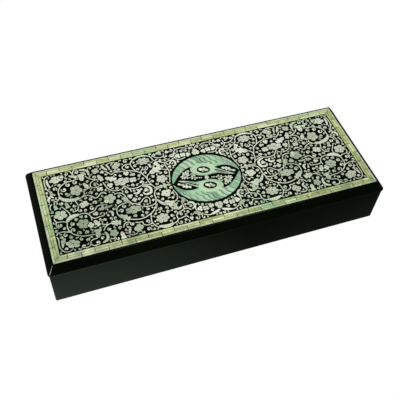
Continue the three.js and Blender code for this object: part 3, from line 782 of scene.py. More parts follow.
class Pattern:
    """Shell laid on the black ground, shape after shape. A later shape hides what it covers, and a shape
    with no tone is bare ground. Discs note where shell lies, for filling what is left."""

    def __init__(self, seed):
        self.shapes = []
        self.discs = []
        self.dice = random.Random(seed)

    def shell(self, outline, tone=None):
        self.shapes.append((turned_outwards(outline), self.dice.random() if tone is None else tone))

    def bare(self, outline):
        self.shapes.append((turned_outwards(outline), None))

    def disc(self, x, y, radius):
        self.discs.append((x, y, radius))

    def strip(self, path, widths, tone=None):
        """Shell along a path."""
        tone = self.dice.uniform(0.6, 1) if tone is None else tone
        for outline in strip_shapes(path, widths):
            self.shell(outline, tone)
        for (x, y), width in zip(path, widths):
            self.disc(x, y, width / 2)

    def groove(self, path, widths):
        """Bare ground along a path."""
        for outline in strip_shapes(path, widths):
            self.bare(outline)

    def stem(self, points, width=0.64):
        path = spline(points)
        self.strip(path, [width] * len(path))

    def curl(self, x, y, radius, start, hand, lead=0.0, width=0.72, sweep=265):
        """Tendril that winds in to a ball. It starts as far out as its lead."""
        count = max(12, round(radius * 8))
        path, widths = [], []
        for i in range(count + 1):
            t = i / count
            angle = math.radians(start + hand * sweep * t)
            wound = (radius - width / 2) * (1 - 0.78 * t ** 1.3)
            reach = wound + max(lead - radius, 0) * max(1 - 5 * t, 0)
            path.append((x + reach * math.cos(angle), y + reach * math.sin(angle)))
            widths.append(width * (0.75 + 0.45 * t))
        tone = self.dice.uniform(0.5, 1)
        self.strip(path, widths, tone)
        self.shell(round_shape(*path[-1], min(0.9, 0.4 * radius), count=10), tone)
        self.disc(x, y, radius)

    def blossom(self, x, y, radius_x, radius_y, petals, turn, halo=0.6):
        """Round petals, each cut free of the next and engraved, round a small dark heart."""
        self.bare(petal_ring(x, y, radius_x + halo, radius_y + halo, petals, turn, 0.1))
        tone = self.dice.uniform(0.35, 0.85) + PALER * (radius_x < PLAIN_BLOSSOM)
        tone += PALER * (abs(x) < PALE_WITHIN)
        self.shell(petal_ring(x, y, radius_x, radius_y, petals, turn, 0.28), tone)

        def spoke(angle, share_in, share_out, width):
            start, end = [place_at(0, 0, share * radius_x * math.cos(angle),
                                   share * radius_y * math.sin(angle), turn)
                          for share in (share_out, share_in)]
            self.bare(wedge(x, y, start, end, width))

        for i in range(petals):
            angle = 2 * math.pi * i / petals
            spoke(angle, 0.2, 1.02, 0.45)
            if radius_x > PLAIN_BLOSSOM:
                for lean in (0.34, 0.5, 0.66):
                    spoke(angle + lean * 2 * math.pi / petals, 0.45, 0.78 + 0.1 * (lean == 0.5), 0.17)
        if radius_x > HEARTLESS_BLOSSOM:
            self.bare(round_shape(x, y, 0.13 * radius_x, 0.13 * radius_y, 8, turn))
        long, short = max(radius_x, radius_y), min(radius_x, radius_y)
        for share in (-0.5, 0, 0.5):
            dx, dy = ((long - short) * share, 0) if radius_x >= radius_y else (0, (long - short) * share)
            self.disc(*place_at(x, y, dx * 2, dy * 2, turn), short)

    def leaf(self, x, y, length, width, turn, lobes=3, halo=0.35):
        """Lobed leaf with a cut along its middle."""
        self.bare(lobed_leaf(x, y, length, width, turn, lobes, halo))
        self.shell(lobed_leaf(x, y, length, width, turn, lobes))
        start = place_at(0, 0, 0.1 * length, 0, turn)
        self.bare(wedge(x, y, start, place_at(0, 0, 0.82 * length, 0, turn), 0.28))
        for share in (0.2, 0.5, 0.8):
            self.disc(*place_at(x, y, share * length, 0, turn), 0.42 * width)

    def crescent(self, points, width, ribs=0):
        """Broad band that swells in the middle and is engraved across."""
        path = spline(points)
        last = len(path) - 1
        widths = [0.5 + (width - 0.5) * abs(math.sin(math.pi * i / last)) ** 0.7 for i in range(last + 1)]
        self.strip(path, widths)
        for i in range(ribs):
            at = round(last * (i + 1.2) / (ribs + 1.4))
            (x, y), (ahead_x, ahead_y) = path[at], path[min(at + 1, last)]
            turn = math.degrees(math.atan2(ahead_y - y, ahead_x - x))
            start = place_at(0, 0, 0.15, -0.36 * widths[at], turn)
            self.bare(wedge(x, y, start, place_at(0, 0, -0.35, 0.34 * widths[at], turn), 0.26))

    def room(self, step):
        """Grid of the distance from each spot of the left half to the nearest shell or edge."""
        xs = np.arange(-FIELD_X + FIELD_EDGE, ROOM_END, step)
        ys = np.arange(-FIELD_Y + FIELD_EDGE, FIELD_Y - FIELD_EDGE, step)
        grid_x, grid_y = np.meshgrid(xs, ys)
        edges = (grid_x - xs[0], xs[-1] - grid_x, grid_y - ys[0], ys[-1] - grid_y)
        free = np.minimum.reduce(edges) + EDGE_SLACK
        rim_x, rim_y = MEDALLION_X + MEDALLION_GAP, MEDALLION_Y + MEDALLION_GAP
        ring = np.hypot(grid_x / rim_x, grid_y / rim_y)
        free = np.minimum(free, (ring - 1) * rim_y + RING_SLACK)
        for disc in self.discs:
            shrink_room(free, xs, ys, *disc)
        return free + DENSE_BONUS * (grid_x > DENSE_FROM), xs, ys

    def fill(self, gap=0.62, least=0.6, most=2.3, step=0.2):
        """Tendrils, trefoils and buds in what is left, the largest gap first."""
        free, xs, ys = self.room(step)
        laid = np.array(self.discs)
        while True:
            row, column = divmod(int(free.argmax()), len(xs))
            radius = min(float(free[row, column]) - gap, most)
            if radius < least:
                return
            x, y = float(xs[column]), float(ys[row])
            away = np.hypot(laid[:, 0] - x, laid[:, 1] - y) - laid[:, 2]
            closest = laid[away.argmin()]
            heading = math.degrees(math.atan2(closest[1] - y, closest[0] - x))
            self.filler(x, y, radius, heading, float(away.min()))
            laid = np.vstack([laid, (x, y, radius)])
            shrink_room(free, xs, ys, x, y, radius)

    def filler(self, x, y, radius, heading, reach):
        """One small shape. Tendrils and buds start at the closest shell."""
        hand, choice = self.dice.choice((-1, 1)), self.dice.random()
        if radius <= TENDRIL_FROM:
            self.sprout(x, y, radius, heading, reach, hand)
        elif choice < TENDRIL_SHARE:
            self.curl(x, y, radius + 0.15, heading, hand, reach + 0.2, 0.6)
        else:
            self.shell(petal_ring(x, y, radius, radius, 3, heading, 0.45))

    def sprout(self, x, y, radius, heading, reach, hand):
        """Bud on a bent stalk."""
        tone = self.dice.random()
        ball = max(0.52, 0.6 * radius)
        long = ball * self.dice.uniform(1, 1.6)
        bud = place_at(x, y, -0.3 * radius, 0, heading)
        self.shell(round_shape(*bud, long, 0.85 * ball, 10, heading + 55 * hand), tone)
        path = [place_at(x, y, -0.3 * radius + (reach + 0.2 + 0.3 * radius) * t,
                         hand * 0.75 * radius * math.sin(math.pi * (0.25 + 0.75 * t)), heading)
                for t in (i / 6 for i in range(7))]
        self.strip(path, [ball * (0.95 - 0.09 * i) for i in range(7)], tone)


def shrink_room(free, xs, ys, x, y, radius):
    """Takes a disc of shell out of the free distances round it."""
    reach = radius + ROOM_REACH
    first_x, last_x = np.searchsorted(xs, (x - reach, x + reach))
    first_y, last_y = np.searchsorted(ys, (y - reach, y + reach))
    if first_x < last_x and first_y < last_y:
        part = free[first_y:last_y, first_x:last_x]
        away = np.hypot(xs[None, first_x:last_x] - x, ys[first_y:last_y, None] - y) - radius
        np.minimum(part, away, out=part)


def lay_shell(name, shapes, mirror=False, trimmed=False):
    """Plate of every spot whose topmost shape is shell, with a tone for each of its faces. A trimmed plate
    ends at its first shape."""
    spots, outlines = [], []
    for outline, _ in shapes:
        outlines.append(list(range(len(spots), len(spots) + len(outline))))
        spots.extend(Vector(point) for point in outline)
    corners, _, triangles, _, _, sources = geometry.delaunay_2d_cdt(spots, [], outlines, 0, WELD)
    faces, tones = [], []
    for triangle, source in zip(triangles, sources):
        tone = shapes[max(source)][1] if source and (0 in source or not trimmed) else None
        if tone is not None:
            faces.append(triangle[::-1] if mirror else triangle)
            tones.append(tone)
    flip = -1 if mirror else 1
    mesh = bpy.data.meshes.new(name)
    mesh.from_pydata([(flip * x * MM, y * MM, SHELL_TOP * MM) for x, y in corners], [], faces)
    mesh.attributes.new("shell_tone", "FLOAT", "FACE").data.foreach_set("value", tones)
    piece = bpy.data.objects.new(name, mesh)
    bpy.context.scene.collection.objects.link(piece)
    choose(piece)
    bpy.ops.object.mode_set(mode="EDIT")
    bpy.ops.mesh.select_mode(type="VERT")
    bpy.ops.mesh.select_all(action="SELECT")
    bpy.ops.mesh.delete_loose(use_verts=True, use_edges=True, use_faces=False)
    bpy.ops.object.mode_set(mode="OBJECT")
    solid = piece.modifiers.new("thickness", "SOLIDIFY")
    solid.thickness = SHELL_SUNK * MM
    solid.offset = -1
    bpy.ops.object.modifier_apply(modifier=solid.name)
    return piece


def lay_on_lid(name, pattern, material, slot, *nodes, **options):
    """Lays a pattern on the lid as one piece, with its finish, and hides the nodes that it stands for."""
    hand_over(lay_shell(name, pattern.shapes, **options), "lid", material, slot, *nodes)


# ---- Vine scroll, left half. Places in millimetres from the middle of the lid.

STEMS = [
    [(-88.6, 13.2), (-88, 11), (-89.8, 8.6), (-93, 7.3), (-95.3, 6.2), (-94.6, 3.5), (-94.3, 1),
     (-95.8, -2), (-99, -2.8)],
    [(-105.2, 12.8), (-105.3, 16.5), (-104, 20.5), (-101, 23.2), (-97.5, 24.6), (-93.5, 24.8),
     (-89.5, 25.6)],
    [(-88, 26.8), (-90.5, 27.5), (-92.5, 31), (-94, 34), (-97, 34.3)],
    [(-92.5, 31), (-91, 34), (-88.5, 34.2)],
    [(-84, 26.5), (-82.5, 24), (-80.3, 22.4), (-78.2, 21.2)],
    [(-73, 19.3), (-75.5, 20.6), (-78.5, 20.8), (-81.6, 19), (-82.4, 16), (-80.3, 14), (-76.8, 14.2)],
    [(-105.8, 4), (-104.5, 2.5), (-103.3, 0.3), (-101.6, -2.6), (-101.4, -5.6)],
    [(-105.4, 12), (-107.3, 9.8), (-109.3, 9.6), (-110, 7), (-110.2, 5)],
    [(-111.6, 8.2), (-113.2, 6), (-113.2, 3)],
    [(-109.5, 34.2), (-111.6, 33), (-113, 30), (-113.1, 25), (-112, 21), (-110, 18.2)],
    [(-88.4, 9.6), (-85.5, 8.3), (-83, 6.6), (-81.8, 4.8), (-79.6, 5.3), (-77.8, 7), (-75.5, 7.8)],
    [(-95, -5.8), (-91, -6.2), (-89, -8), (-88, -11), (-88.3, -13.5)],
    [(-104.4, -10), (-105.2, -14.5), (-104.4, -18), (-102.3, -21), (-99, -23.3), (-95.5, -24.6),
     (-91.5, -25), (-89, -25.2)],
    [(-86, -27.8), (-88.5, -28.7), (-91, -29), (-92.8, -30.3), (-93, -32), (-94.5, -33.6), (-97, -34)],
    [(-93, -32), (-91.5, -33.8), (-89, -34)],
    [(-113.6, -18.8), (-112, -17.4), (-109.5, -17), (-106.5, -17.8), (-104.3, -18.6)],
    [(-113.4, -20), (-112.8, -23), (-113.2, -28), (-112.3, -31), (-110.2, -33.4), (-107.3, -33.6),
     (-105, -32)],
    [(-111.5, -2.8), (-112.3, -5.5), (-111.3, -8), (-109, -8.5), (-107, -8.8), (-104.6, -10.2)],
    [(-111.3, -8), (-112, -10.5), (-110.8, -13.6)],
    [(-73, 17), (-72.3, 14), (-71, 10.5), (-68.8, 8), (-65, 6.8), (-61.5, 7.6), (-59.4, 9.4), (-57.5, 7),
     (-56.2, 5.4), (-56, 2.8)],
    [(-57, 6.2), (-53, 5.2), (-49.5, 5.6), (-46, 6.8), (-43, 6), (-40.6, 4.8)],
    [(-66, 22.3), (-63, 23.6), (-58.5, 23.2), (-54.5, 22.9), (-51, 21.9), (-47.8, 20.2), (-45, 18),
     (-43.3, 15), (-42, 11.5), (-41.5, 8), (-40.5, 5), (-39, 2.6)],
    [(-47.8, 20.2), (-49.3, 24), (-50, 27.5), (-49, 30.3), (-46.4, 32.4)],
    [(-35.5, 32.4), (-33.5, 30), (-33, 27.5), (-31.3, 25.6), (-29, 24.4)],
    [(-50, 28.2), (-53, 28.8), (-56, 27.4), (-56.6, 25.3), (-54.8, 23.9)],
    [(-44.5, 17.3), (-44.2, 19.5), (-42.8, 21), (-42, 23)],
    [(-42.8, 21), (-40.6, 19.4), (-38.6, 21.2), (-40, 22.9)],
    [(-42, 11.5), (-41, 13.8), (-39, 15.6), (-36.5, 16.6)],
    [(-69.6, -16), (-70.2, -12.5), (-69.6, -9), (-67.5, -6.8), (-64.5, -5.8), (-61, -5.6), (-58.8, -7),
     (-57.8, -9.6)],
    [(-58.3, -7.4), (-54.5, -8.4), (-51.5, -7.6), (-49.5, -5.6), (-47, -4.8), (-45.4, -6.5), (-45.6, -9),
     (-46.3, -11.3)],
    [(-64.5, -19.4), (-60, -21.2), (-55, -22), (-50.5, -20.8), (-46.5, -18.6), (-43.8, -15.6),
     (-42.2, -12), (-41, -8), (-40.9, -4.5), (-39.6, -1.2), (-37, 0.2), (-34, 1.1)],
    [(-42.3, -12), (-45.5, -13), (-49, -12.9), (-51.5, -12)],
    [(-48, -19.6), (-48.8, -23), (-49.3, -27), (-48, -30.3), (-46.3, -32.3), (-47.5, -33.8)],
    [(-49.3, -27.5), (-52.5, -28.4), (-55.2, -27), (-55.6, -24.6), (-58, -24.5), (-60.3, -23.8)],
    [(-69, -25.4), (-67.6, -22.8), (-65.3, -22), (-63.5, -23)],
    [(-60, -31.5), (-62, -33), (-65, -33), (-66.5, -31), (-65.4, -27.5)],
    [(-46.3, -32.3), (-44, -32.6)],
    [(-35.5, -32.2), (-33, -31.5), (-31.4, -29.5), (-31.5, -26.5), (-30, -25), (-27, -23.5),
     (-24.8, -22.3), (-24.5, -19.5), (-24.8, -17)],
    [(-31.3, -29.7), (-28, -29.2), (-25, -28.8), (-23.6, -31)],
    [(-24.6, -22.5), (-21.8, -22.8), (-20.2, -24.8)],
    [(-15.2, -20.6), (-16.8, -24), (-16.3, -27.5), (-13.1, -30.8), (-9.5, -32.6), (-5.5, -32),
     (-1.2, -30.3)],
    [(-32.8, 31.6), (-30, 29), (-27, 28), (-24.3, 28.8), (-23.6, 31.6)],
    [(-29, 24.4), (-27, 23), (-25, 22.3), (-22.5, 23), (-20.4, 23.6)],
    [(-25.3, 22.3), (-25.6, 19.5), (-25, 16.8), (-24.6, 13), (-25.4, 10), (-26.3, 6), (-27, 3.6)],
    [(-29.5, 17), (-27, 16), (-25, 15.4)],
    [(-5, 31), (-8.2, 32.9), (-12, 32.9), (-15.2, 31.2), (-17, 27.6), (-16.4, 24), (-14.2, 22.2),
     (-11, 22.4), (-8.9, 23)],
    [(-0.4, 29), (-0.9, 30.6), (-1.6, 31.2)],
    [(-30, -14.6), (-27, -13), (-25.7, -10), (-25.9, -7), (-27, -4.2)],
    [(-78.5, -20.2), (-80.4, -19.4), (-82.8, -18)],
    [(-78.5, -20), (-80.6, -21.4), (-82.4, -24)],
    [(-78.5, -20), (-76.6, -19.6)],
    [(-88, -10.4), (-86, -12.2), (-82.5, -11.9), (-79.3, -11.6), (-78.8, -9.6)],
    [(-88.6, -7), (-84.6, -5.8), (-82.4, -3), (-80, -2.3), (-77.4, -3)],
    [(-79.5, -31.5), (-77.5, -32.3), (-75.5, -30.8)],
    [(-71.4, 26), (-69.6, 26.9), (-68, 25.3), (-66, 23)],
    [(-67, 32.6), (-64, 33.7), (-61, 33.4), (-60.4, 31.6)],
    [(-69.4, 3.8), (-66, 4.5), (-63, 3.6), (-61.4, 1.2), (-60.8, -1.5), (-59.6, -4), (-58.6, -7)],
    [(-80, 16.6), (-77, 12.4), (-75.4, 10.4)],
    [(-22.8, 25.4), (-24, 27.2), (-24.3, 28.8)],
]

# Broad engraved bands: points, greatest width, number of cuts across
BANDS = [
    ([(-40.4, -9), (-38.6, -12.4), (-35.6, -14.9), (-31.6, -16.4)], 2.1, 5),
    ([(-33, -18.8), (-30, -20.6), (-27.4, -20.8), (-25.4, -19)], 1.9, 4),
    ([(-8, -32.5), (-4.4, -31.6), (-0.6, -30)], 1.9, 0),
    ([(-105.6, 13.4), (-103.3, 10), (-99, 8), (-95.2, 7.6), (-92.2, 8.9)], 2.9, 5),
    ([(-105, -10.2), (-102.6, -7.6), (-99, -6.2), (-95.2, -6)], 3.1, 5),
    ([(-47, 31.6), (-44, 33.2), (-40, 33.6), (-35.4, 32.2)], 1.7, 6),
    ([(-45.6, -31.4), (-42.6, -32.7), (-39, -33), (-35, -32)], 2.8, 7),
    ([(-87.2, 33.2), (-84, 32.6), (-81.6, 30.4), (-81.4, 26.6)], 1.9, 4),
    ([(-86.8, 30.6), (-84.6, 29.8), (-83.4, 27.4)], 1.4, 3),
    ([(-82, -25.2), (-80.9, -28.6), (-81.8, -31.8), (-85.2, -33.4)], 1.9, 4),
    ([(-111, 31), (-111.2, 28), (-110.6, 24.6), (-109.6, 23)], 1.6, 4),
    ([(-110.9, -23.6), (-110.8, -26.6), (-111.4, -29.6)], 1.6, 4),
    ([(-47.2, 5.4), (-44, 4.6), (-42, 1.8), (-43, -1.8), (-46.8, -2.2), (-48, 0.2)], 1.9, 6),
    ([(-112.8, 10), (-113, 12.6), (-111, 14.8), (-109.2, 13.4)], 1.7, 4),
    ([(-54.8, 1.2), (-52, 0.4), (-50.4, 2.2), (-52, 4)], 1.8, 3),
    ([(-70.8, 33.4), (-69.6, 30), (-67.6, 27.4)], 1.8, 4),
    ([(-67.6, 32.6), (-66.2, 30), (-66, 27.4)], 1.3, 3),
    ([(-21.2, -19.6), (-19.6, -18), (-17.2, -19.2), (-16.8, -22.2), (-19.2, -24.4)], 1.7, 5),
    ([(-22.2, 19.6), (-20, 23), (-17.8, 21.4), (-18.2, 18.2), (-20.8, 17.6)], 1.4, 4),
    ([(-77.2, -5), (-74.6, -5.4), (-71.6, -4.8)], 1.4, 3),
    ([(-77.6, 7.4), (-75.4, 8.1), (-73.2, 6.4)], 1.3, 3),
    ([(-75.6, -9.4), (-73.4, -10.6), (-73.6, -14)], 1.6, 3),
    ([(-66.8, -25.6), (-65, -27.2), (-66, -31)], 1.4, 3),
]

# Winding tendrils: x, y, radius, first angle, hand
CURLS = [
    (-97, 32, 1.9, 100, -1), (-89.5, 31.8, 2.0, 80, -1), (-98.8, 25.4, 1.6, -60, 1),
    (-103.2, 23.4, 1.7, -80, -1), (-107.2, 20.8, 2.1, -60, 1), (-97.3, 21.9, 2.1, 120, 1),
    (-92, 22.7, 2.2, 110, 1), (-100.9, 18.4, 2.4, 150, 1), (-112.9, 18.6, 1.4, 60, 1),
    (-100.2, 13.9, 1.7, -100, 1), (-86.6, 14, 1.6, -100, -1), (-78.9, 16.9, 2.1, -40, 1),
    (-78.3, 23.7, 1.9, -90, 1), (-83.4, 21.2, 1.5, -90, -1), (-83.3, 10.2, 2.0, 200, -1),
    (-105, 6.8, 1.9, 150, 1), (-84.7, 4.6, 1.9, 40, 1), (-79.7, 8.1, 1.4, 250, -1),
    (-82.4, 0.9, 2.1, 200, -1), (-97.1, 2.3, 1.7, 0, -1), (-113.0, 22.6, 1.0, 60, 1),
    (-108.1, 15.8, 1.0, 90, 1), (-52.8, 31.9, 2.3, 20, 1), (-52.7, 26.1, 1.9, 90, 1),
    (-59.3, 25.3, 1.6, -100, -1), (-59.6, 19.5, 1.5, 90, 1), (-45.9, 21.7, 1.6, 220, -1),
    (-39.6, 25.6, 1.2, -60, 1), (-46.6, 15.5, 1.6, 30, 1), (-44.9, 12.0, 1.3, 0, 1),
    (-37.4, 11.9, 1.8, 150, -1), (-64.6, 8.9, 1.8, -90, -1), (-53.6, 8.6, 1.7, -90, 1),
    (-46.8, 9.4, 2.1, -90, 1), (-59.0, 3.6, 1.8, 60, 1), (-49.0, 3.2, 1.3, 60, -1),
    (-38.9, 7.6, 1.7, 200, -1), (-27.6, 8.6, 1.6, 0, 1), (-27.6, 1.2, 1.2, 90, 1),
    (-27.1, 12.9, 1.8, 60, 1), (-28, 19.3, 1.9, 0, 1), (-27.7, 25.6, 1.6, -60, -1),
    (-30.6, 31.8, 1.5, 200, -1), (-26.6, 31.4, 1.5, -60, 1), (-109.3, -11.4, 2.0, 130, 1),
    (-107.3, -14.9, 1.4, 0, 1), (-101, -12.6, 2.0, 100, 1), (-101.7, -17.8, 2.2, 230, -1),
    (-107.4, -20.3, 2.0, 90, 1), (-110.4, -21.7, 1.5, 180, -1), (-104.2, -22.9, 1.7, 90, 1),
    (-98.1, -21.2, 2.2, 230, -1), (-93.1, -22, 1.9, 230, -1), (-98, -26.4, 1.6, 90, 1),
    (-94.4, -28.2, 1.6, -40, 1), (-109, -31.3, 1.5, 200, -1), (-97.6, -32.2, 1.9, -60, -1),
    (-88.4, -32.2, 2.0, 230, 1), (-93.7, -2.8, 1.7, 150, 1), (-90.2, -3.6, 1.5, -90, -1),
    (-85.6, -3.4, 2.2, 60, 1), (-91.2, -9.2, 1.4, 60, 1), (-79.1, -6.0, 1.8, 60, 1),
    (-79.4, -15.5, 1.5, 200, -1), (-84, -21.2, 1.0, 60, 1), (-78.4, -24, 1.8, 110, 1),
    (-71.5, -25.2, 1.7, 0, 1), (-84.7, -29.8, 1.5, 0, 1), (-76.3, -12.6, 1.2, 60, 1),
    (-71.6, -8, 1.5, 0, -1), (-63.9, -8.4, 1.9, 100, 1), (-66.8, -11.6, 2.2, 180, -1),
    (-52.3, -5.0, 1.4, 0, 1), (-49.8, -2.3, 1.4, 200, -1), (-43.3, -5, 1.3, 180, 1),
    (-43.2, -9, 1.4, 0, 1), (-48.6, -8.0, 1.7, 80, -1), (-48.5, -15.1, 1.7, 90, 1),
    (-58.6, -18.5, 1.7, 200, -1), (-54.2, -19.4, 1.5, -90, 1), (-50.3, -18, 1.7, -90, -1),
    (-45, -20.5, 1.3, 180, 1), (-40.4, -17.2, 1.9, 150, 1), (-62.4, -24.3, 1.9, 120, 1),
    (-52, -25.2, 2.0, -90, 1), (-46.9, -26.6, 1.1, 180, 1), (-53, -31.8, 2.0, -40, 1),
    (-36.4, -21.6, 1.6, 0, 1), (-34.5, -25.2, 1.7, 0, -1), (-33.9, -28.6, 1.2, 0, 1),
    (-27.9, -26.2, 1.6, 60, 1), (-26.6, -31.5, 1.3, 60, -1), (-36.5, -9.6, 1.5, 180, 1),
    (-38, -4.4, 1.7, 120, 1), (-29.2, -10.9, 1.3, 0, 1), (-28, -1.6, 1.6, -60, 1),
    (-22.8, -25.6, 1.5, 60, 1), (-22.7, -18.6, 1.1, 180, 1), (-10.4, 29.5, 1.5, 150, -1),
    (-10.5, -29.6, 1.5, 150, 1), (-5.9, -29.4, 1.6, 20, 1), (-2.9, 30.6, 1.7, 0, 1),
    (-22.2, 28.2, 1.2, 60, 1), (-23.1, 14.6, 1.2, 200, 1),
]

# Blossoms: x, y, half length, half width, petals, turn
BLOSSOMS = [
    (-104.4, 29.2, 5.2, 3.3, 5, 10), (-93, 15.3, 4.8, 4.4, 5, 100), (-60, 13.9, 6.1, 3.5, 6, 5),
    (-60.4, 29.6, 3.9, 2.6, 4, 45), (-40.4, 28.2, 5.2, 3.3, 8, 0), (-31.8, 8.1, 3.7, 4.1, 5, 90),
    (-72.2, 1.2, 4.6, 4.0, 5, 30), (-107.6, -2.9, 4.0, 4.6, 5, 80), (-94.2, -14.5, 3.9, 4.6, 6, 80),
    (-89.6, -17.0, 2.3, 2.2, 4, 45), (-58.6, -12.9, 5.9, 3.3, 6, 0), (-104.2, -28.4, 4.9, 3.4, 5, -20),
    (-59.2, -28.8, 3.7, 2.9, 4, 40), (-41.3, -25.6, 4.9, 3.9, 7, 10), (-32.2, -5.4, 3.2, 4.3, 5, 90),
    (-90.3, 1.6, 3.6, 2.7, 4, 20), (-68.9, 13.0, 2.2, 2.1, 3, 90), (-52.0, 13.2, 2.8, 2.3, 4, 0),
    (-55.2, 20.4, 2.0, 2.1, 3, 90), (-76.1, 29.0, 2.7, 2.5, 4, 20), (-76.3, -28.0, 3.0, 2.9, 5, 90),
    (-55.6, -4.7, 1.9, 1.8, 4, 45), (-50.9, 18.0, 2.1, 1.2, 3, 0), (-76.7, 11.6, 2.5, 1.9, 4, 0),
    (-14.0, 25.8, 2.3, 2.0, 3, 120), (-9.9, 25.9, 2.4, 2.0, 4, 0), (-6.0, 25.2, 2.1, 1.8, 3, 60),
    (-13.9, -25.6, 2.3, 2.0, 3, 240), (-9.8, -26.3, 2.4, 2.0, 4, 0), (-5.6, -25.1, 2.2, 2.0, 3, -60),
    (-22.2, -31.6, 1.6, 1.4, 3, 90), (-84.4, -8.6, 2.0, 1.6, 3, 0), (-28.2, -6.4, 1.3, 1.2, 3, 0),
    (-71.6, 26.6, 1.5, 1.4, 3, 0), (-100.3, 30.4, 1.5, 1.4, 3, 0), (-20.9, 32, 1.5, 1.4, 3, 30),
]

# Leaves: stalk x and y, length, width, heading, lobes on a side
LEAVES = [
    (-87.2, 22.6, 6.6, 5.6, 85, 2), (-87.3, -28.6, 7.0, 5.4, 80, 2), (-70.8, 20.6, 8.4, 5.0, -28, 3),
    (-38.6, 15.4, 9.6, 6.4, 24, 3), (-35.8, -12.2, 9.4, 6.2, -40, 3), (-69.6, -14.6, 8.6, 4.8, -38, 3),
    (-76.4, -19.2, 7.0, 5.2, -14, 3), (-86.6, -13.8, 5.8, 4.2, -65, 3), (-86.7, 20.4, 6.6, 3.6, -66, 3),
    (-71.2, -28.2, 6.4, 4.2, -86, 2), (-59.6, -6.2, 6.8, 4.0, 122, 3), (-102.2, 7.0, 5.6, 3.6, -80, 2),
    (-110.0, 6.6, 4.2, 3.4, -80, 2), (-75.2, 24.8, 6.4, 4.0, -72, 3), (-110.6, 20.2, 4.8, 3.0, -80, 2),
    (-95.6, 30.0, 6.4, 3.0, -28, 2), (-29.6, 19.2, 6.2, 3.8, 118, 2), (-24.6, -17.6, 5.4, 3.8, 60, 2),
    (-29.6, -15.4, 5.8, 4.2, -94, 2), (-52.4, -14.4, 6.4, 3.6, 110, 2), (-20.6, 27.0, 6.4, 4.4, 12, 2),
    (-64.2, 30.4, 4.0, 2.0, 60, 2), (-82.0, -6.2, 4.6, 3.0, 20, 2), (-19.4, -27.2, 7.0, 3.4, -32, 3),
    (-100.4, 11.8, 5.4, 2.4, 30, 2), (-29.4, 32.2, 4.2, 3.2, 20, 2), (-60.6, 22.6, 4.2, 2.6, 120, 2),
    (-109.8, -27.0, 4.6, 2.2, 80, 2), (-36.2, 20.4, 4.2, 2.4, 100, 2), (-41.4, -12.6, 4.6, 2.0, 235, 2),
]

POINTING_LEAF = (-39.8, 1.4, 12.4, 3.0, 0, 4)

# Trefoil flowers on the centre line: y and turn of each, their half sizes, those of the ground left for
# them, and the disc that keeps fillers away
TREFOILS = {"back": (26.0, -90), "front": (-26.2, 90)}
TREFOIL_SIZE = (3.1, 3.0)
TREFOIL_ROOM = (3.7, 3.5)
TREFOIL_DISC = 3.4

# What each half of the scroll stands for
SCROLL_NODES = ("scroll_front", "scroll_back", "blossom_outer", "bud", "blossom_inner", "bud_inner",
                "pointer_leaf")


def make_scroll(material):
    """Lays the left half, fills it, trims it to the field and round the medallion, and mirrors it. The two
    trefoils between the halves are pieces of their own."""
    vine = Pattern(5)
    for points in STEMS:
        vine.stem(points)
    for band in BANDS:
        vine.crescent(*band)
    for spot in CURLS:
        vine.curl(*spot)
    for spot in (*LEAVES, POINTING_LEAF):
        vine.leaf(*spot)
    for spot in BLOSSOMS:
        vine.blossom(*spot)
    for y, _ in TREFOILS.values():
        vine.bare(round_shape(0, y, *TREFOIL_ROOM, 24))
        vine.disc(0, y, TREFOIL_DISC)
    vine.fill()
    edge_x, edge_y, far = FIELD_X - FIELD_EDGE, FIELD_Y - FIELD_EDGE, FIELD_X + 9
    for low_x, high_x, low_y, high_y in ((-far, -edge_x, -far, far), (-MIDDLE_GAP, far, -far, far),
                                         (-far, far, edge_y, far), (-far, far, -far, -edge_y)):
        vine.bare([(low_x, low_y), (high_x, low_y), (high_x, high_y), (low_x, high_y)])
    vine.bare(round_shape(0, 0, MEDALLION_X + MEDALLION_GAP, MEDALLION_Y + MEDALLION_GAP, 96))
    for end in ("left", "right"):
        lay_on_lid(f"vine_scroll_{end}", vine, material, "pale_shell",
                   *(f"{stem}_{end}" for stem in SCROLL_NODES), mirror=end == "right")
    for depth, (y, turn) in TREFOILS.items():
        flower = Pattern(8)
        flower.blossom(0, y, *TREFOIL_SIZE, 3, turn)
        lay_on_lid(f"trefoil_flower_{depth}", flower, material, "pale_shell", f"trefoil_{depth}")


# ---- Medallion. Points are shares of its half sizes, for the back swirl; the front one is turned round.

SWIRL_POCKET = [(1, 0), (0.93, 0.12), (0.79, 0.28), (0.67, 0.355), (0.52, 0.385), (0.33, 0.365)]
SWIRL_TAIL_TOP = [(0.33, 0.365), (0.41, 0.275), (0.57, 0.13), (0.82, -0.11)]
SWIRL_TAIL_UNDER = [(0.82, -0.13), (0.6, -0.04), (0.4, 0.06), (0.22, 0.095), (0, 0.095), (-0.2, 0.165),
                    (-0.33, 0.3), (-0.37, 0.42), (-0.33, 0.59)]
SWIRL_HORN = [(-0.33, 0.59), (-0.46, 0.565), (-0.61, 0.47), (-0.75, 0.335), (-0.87, 0.19), (-0.98, 0.05)]
# How far a swirl runs round the rim, in degrees
RIM_SWEEP = 176.4

# Lighter and darker patches of the shell: x, y, half length, half width in millimetres, heading, tone
SWIRL_TINTS = [(-21.5, 8.5, 9.6, 5.2, 56, 0.38), (-22.5, 6.8, 7.2, 4.0, 60, 0.28),
               (21.5, 9.0, 8.0, 4.4, -50, 0.36), (22.6, 7.2, 5.6, 3.4, -54, 0.22),
               (-9.5, 15.6, 6.6, 4.6, 20, 0.66), (-9.0, 15.4, 4.6, 3.2, 20, 0.82)]
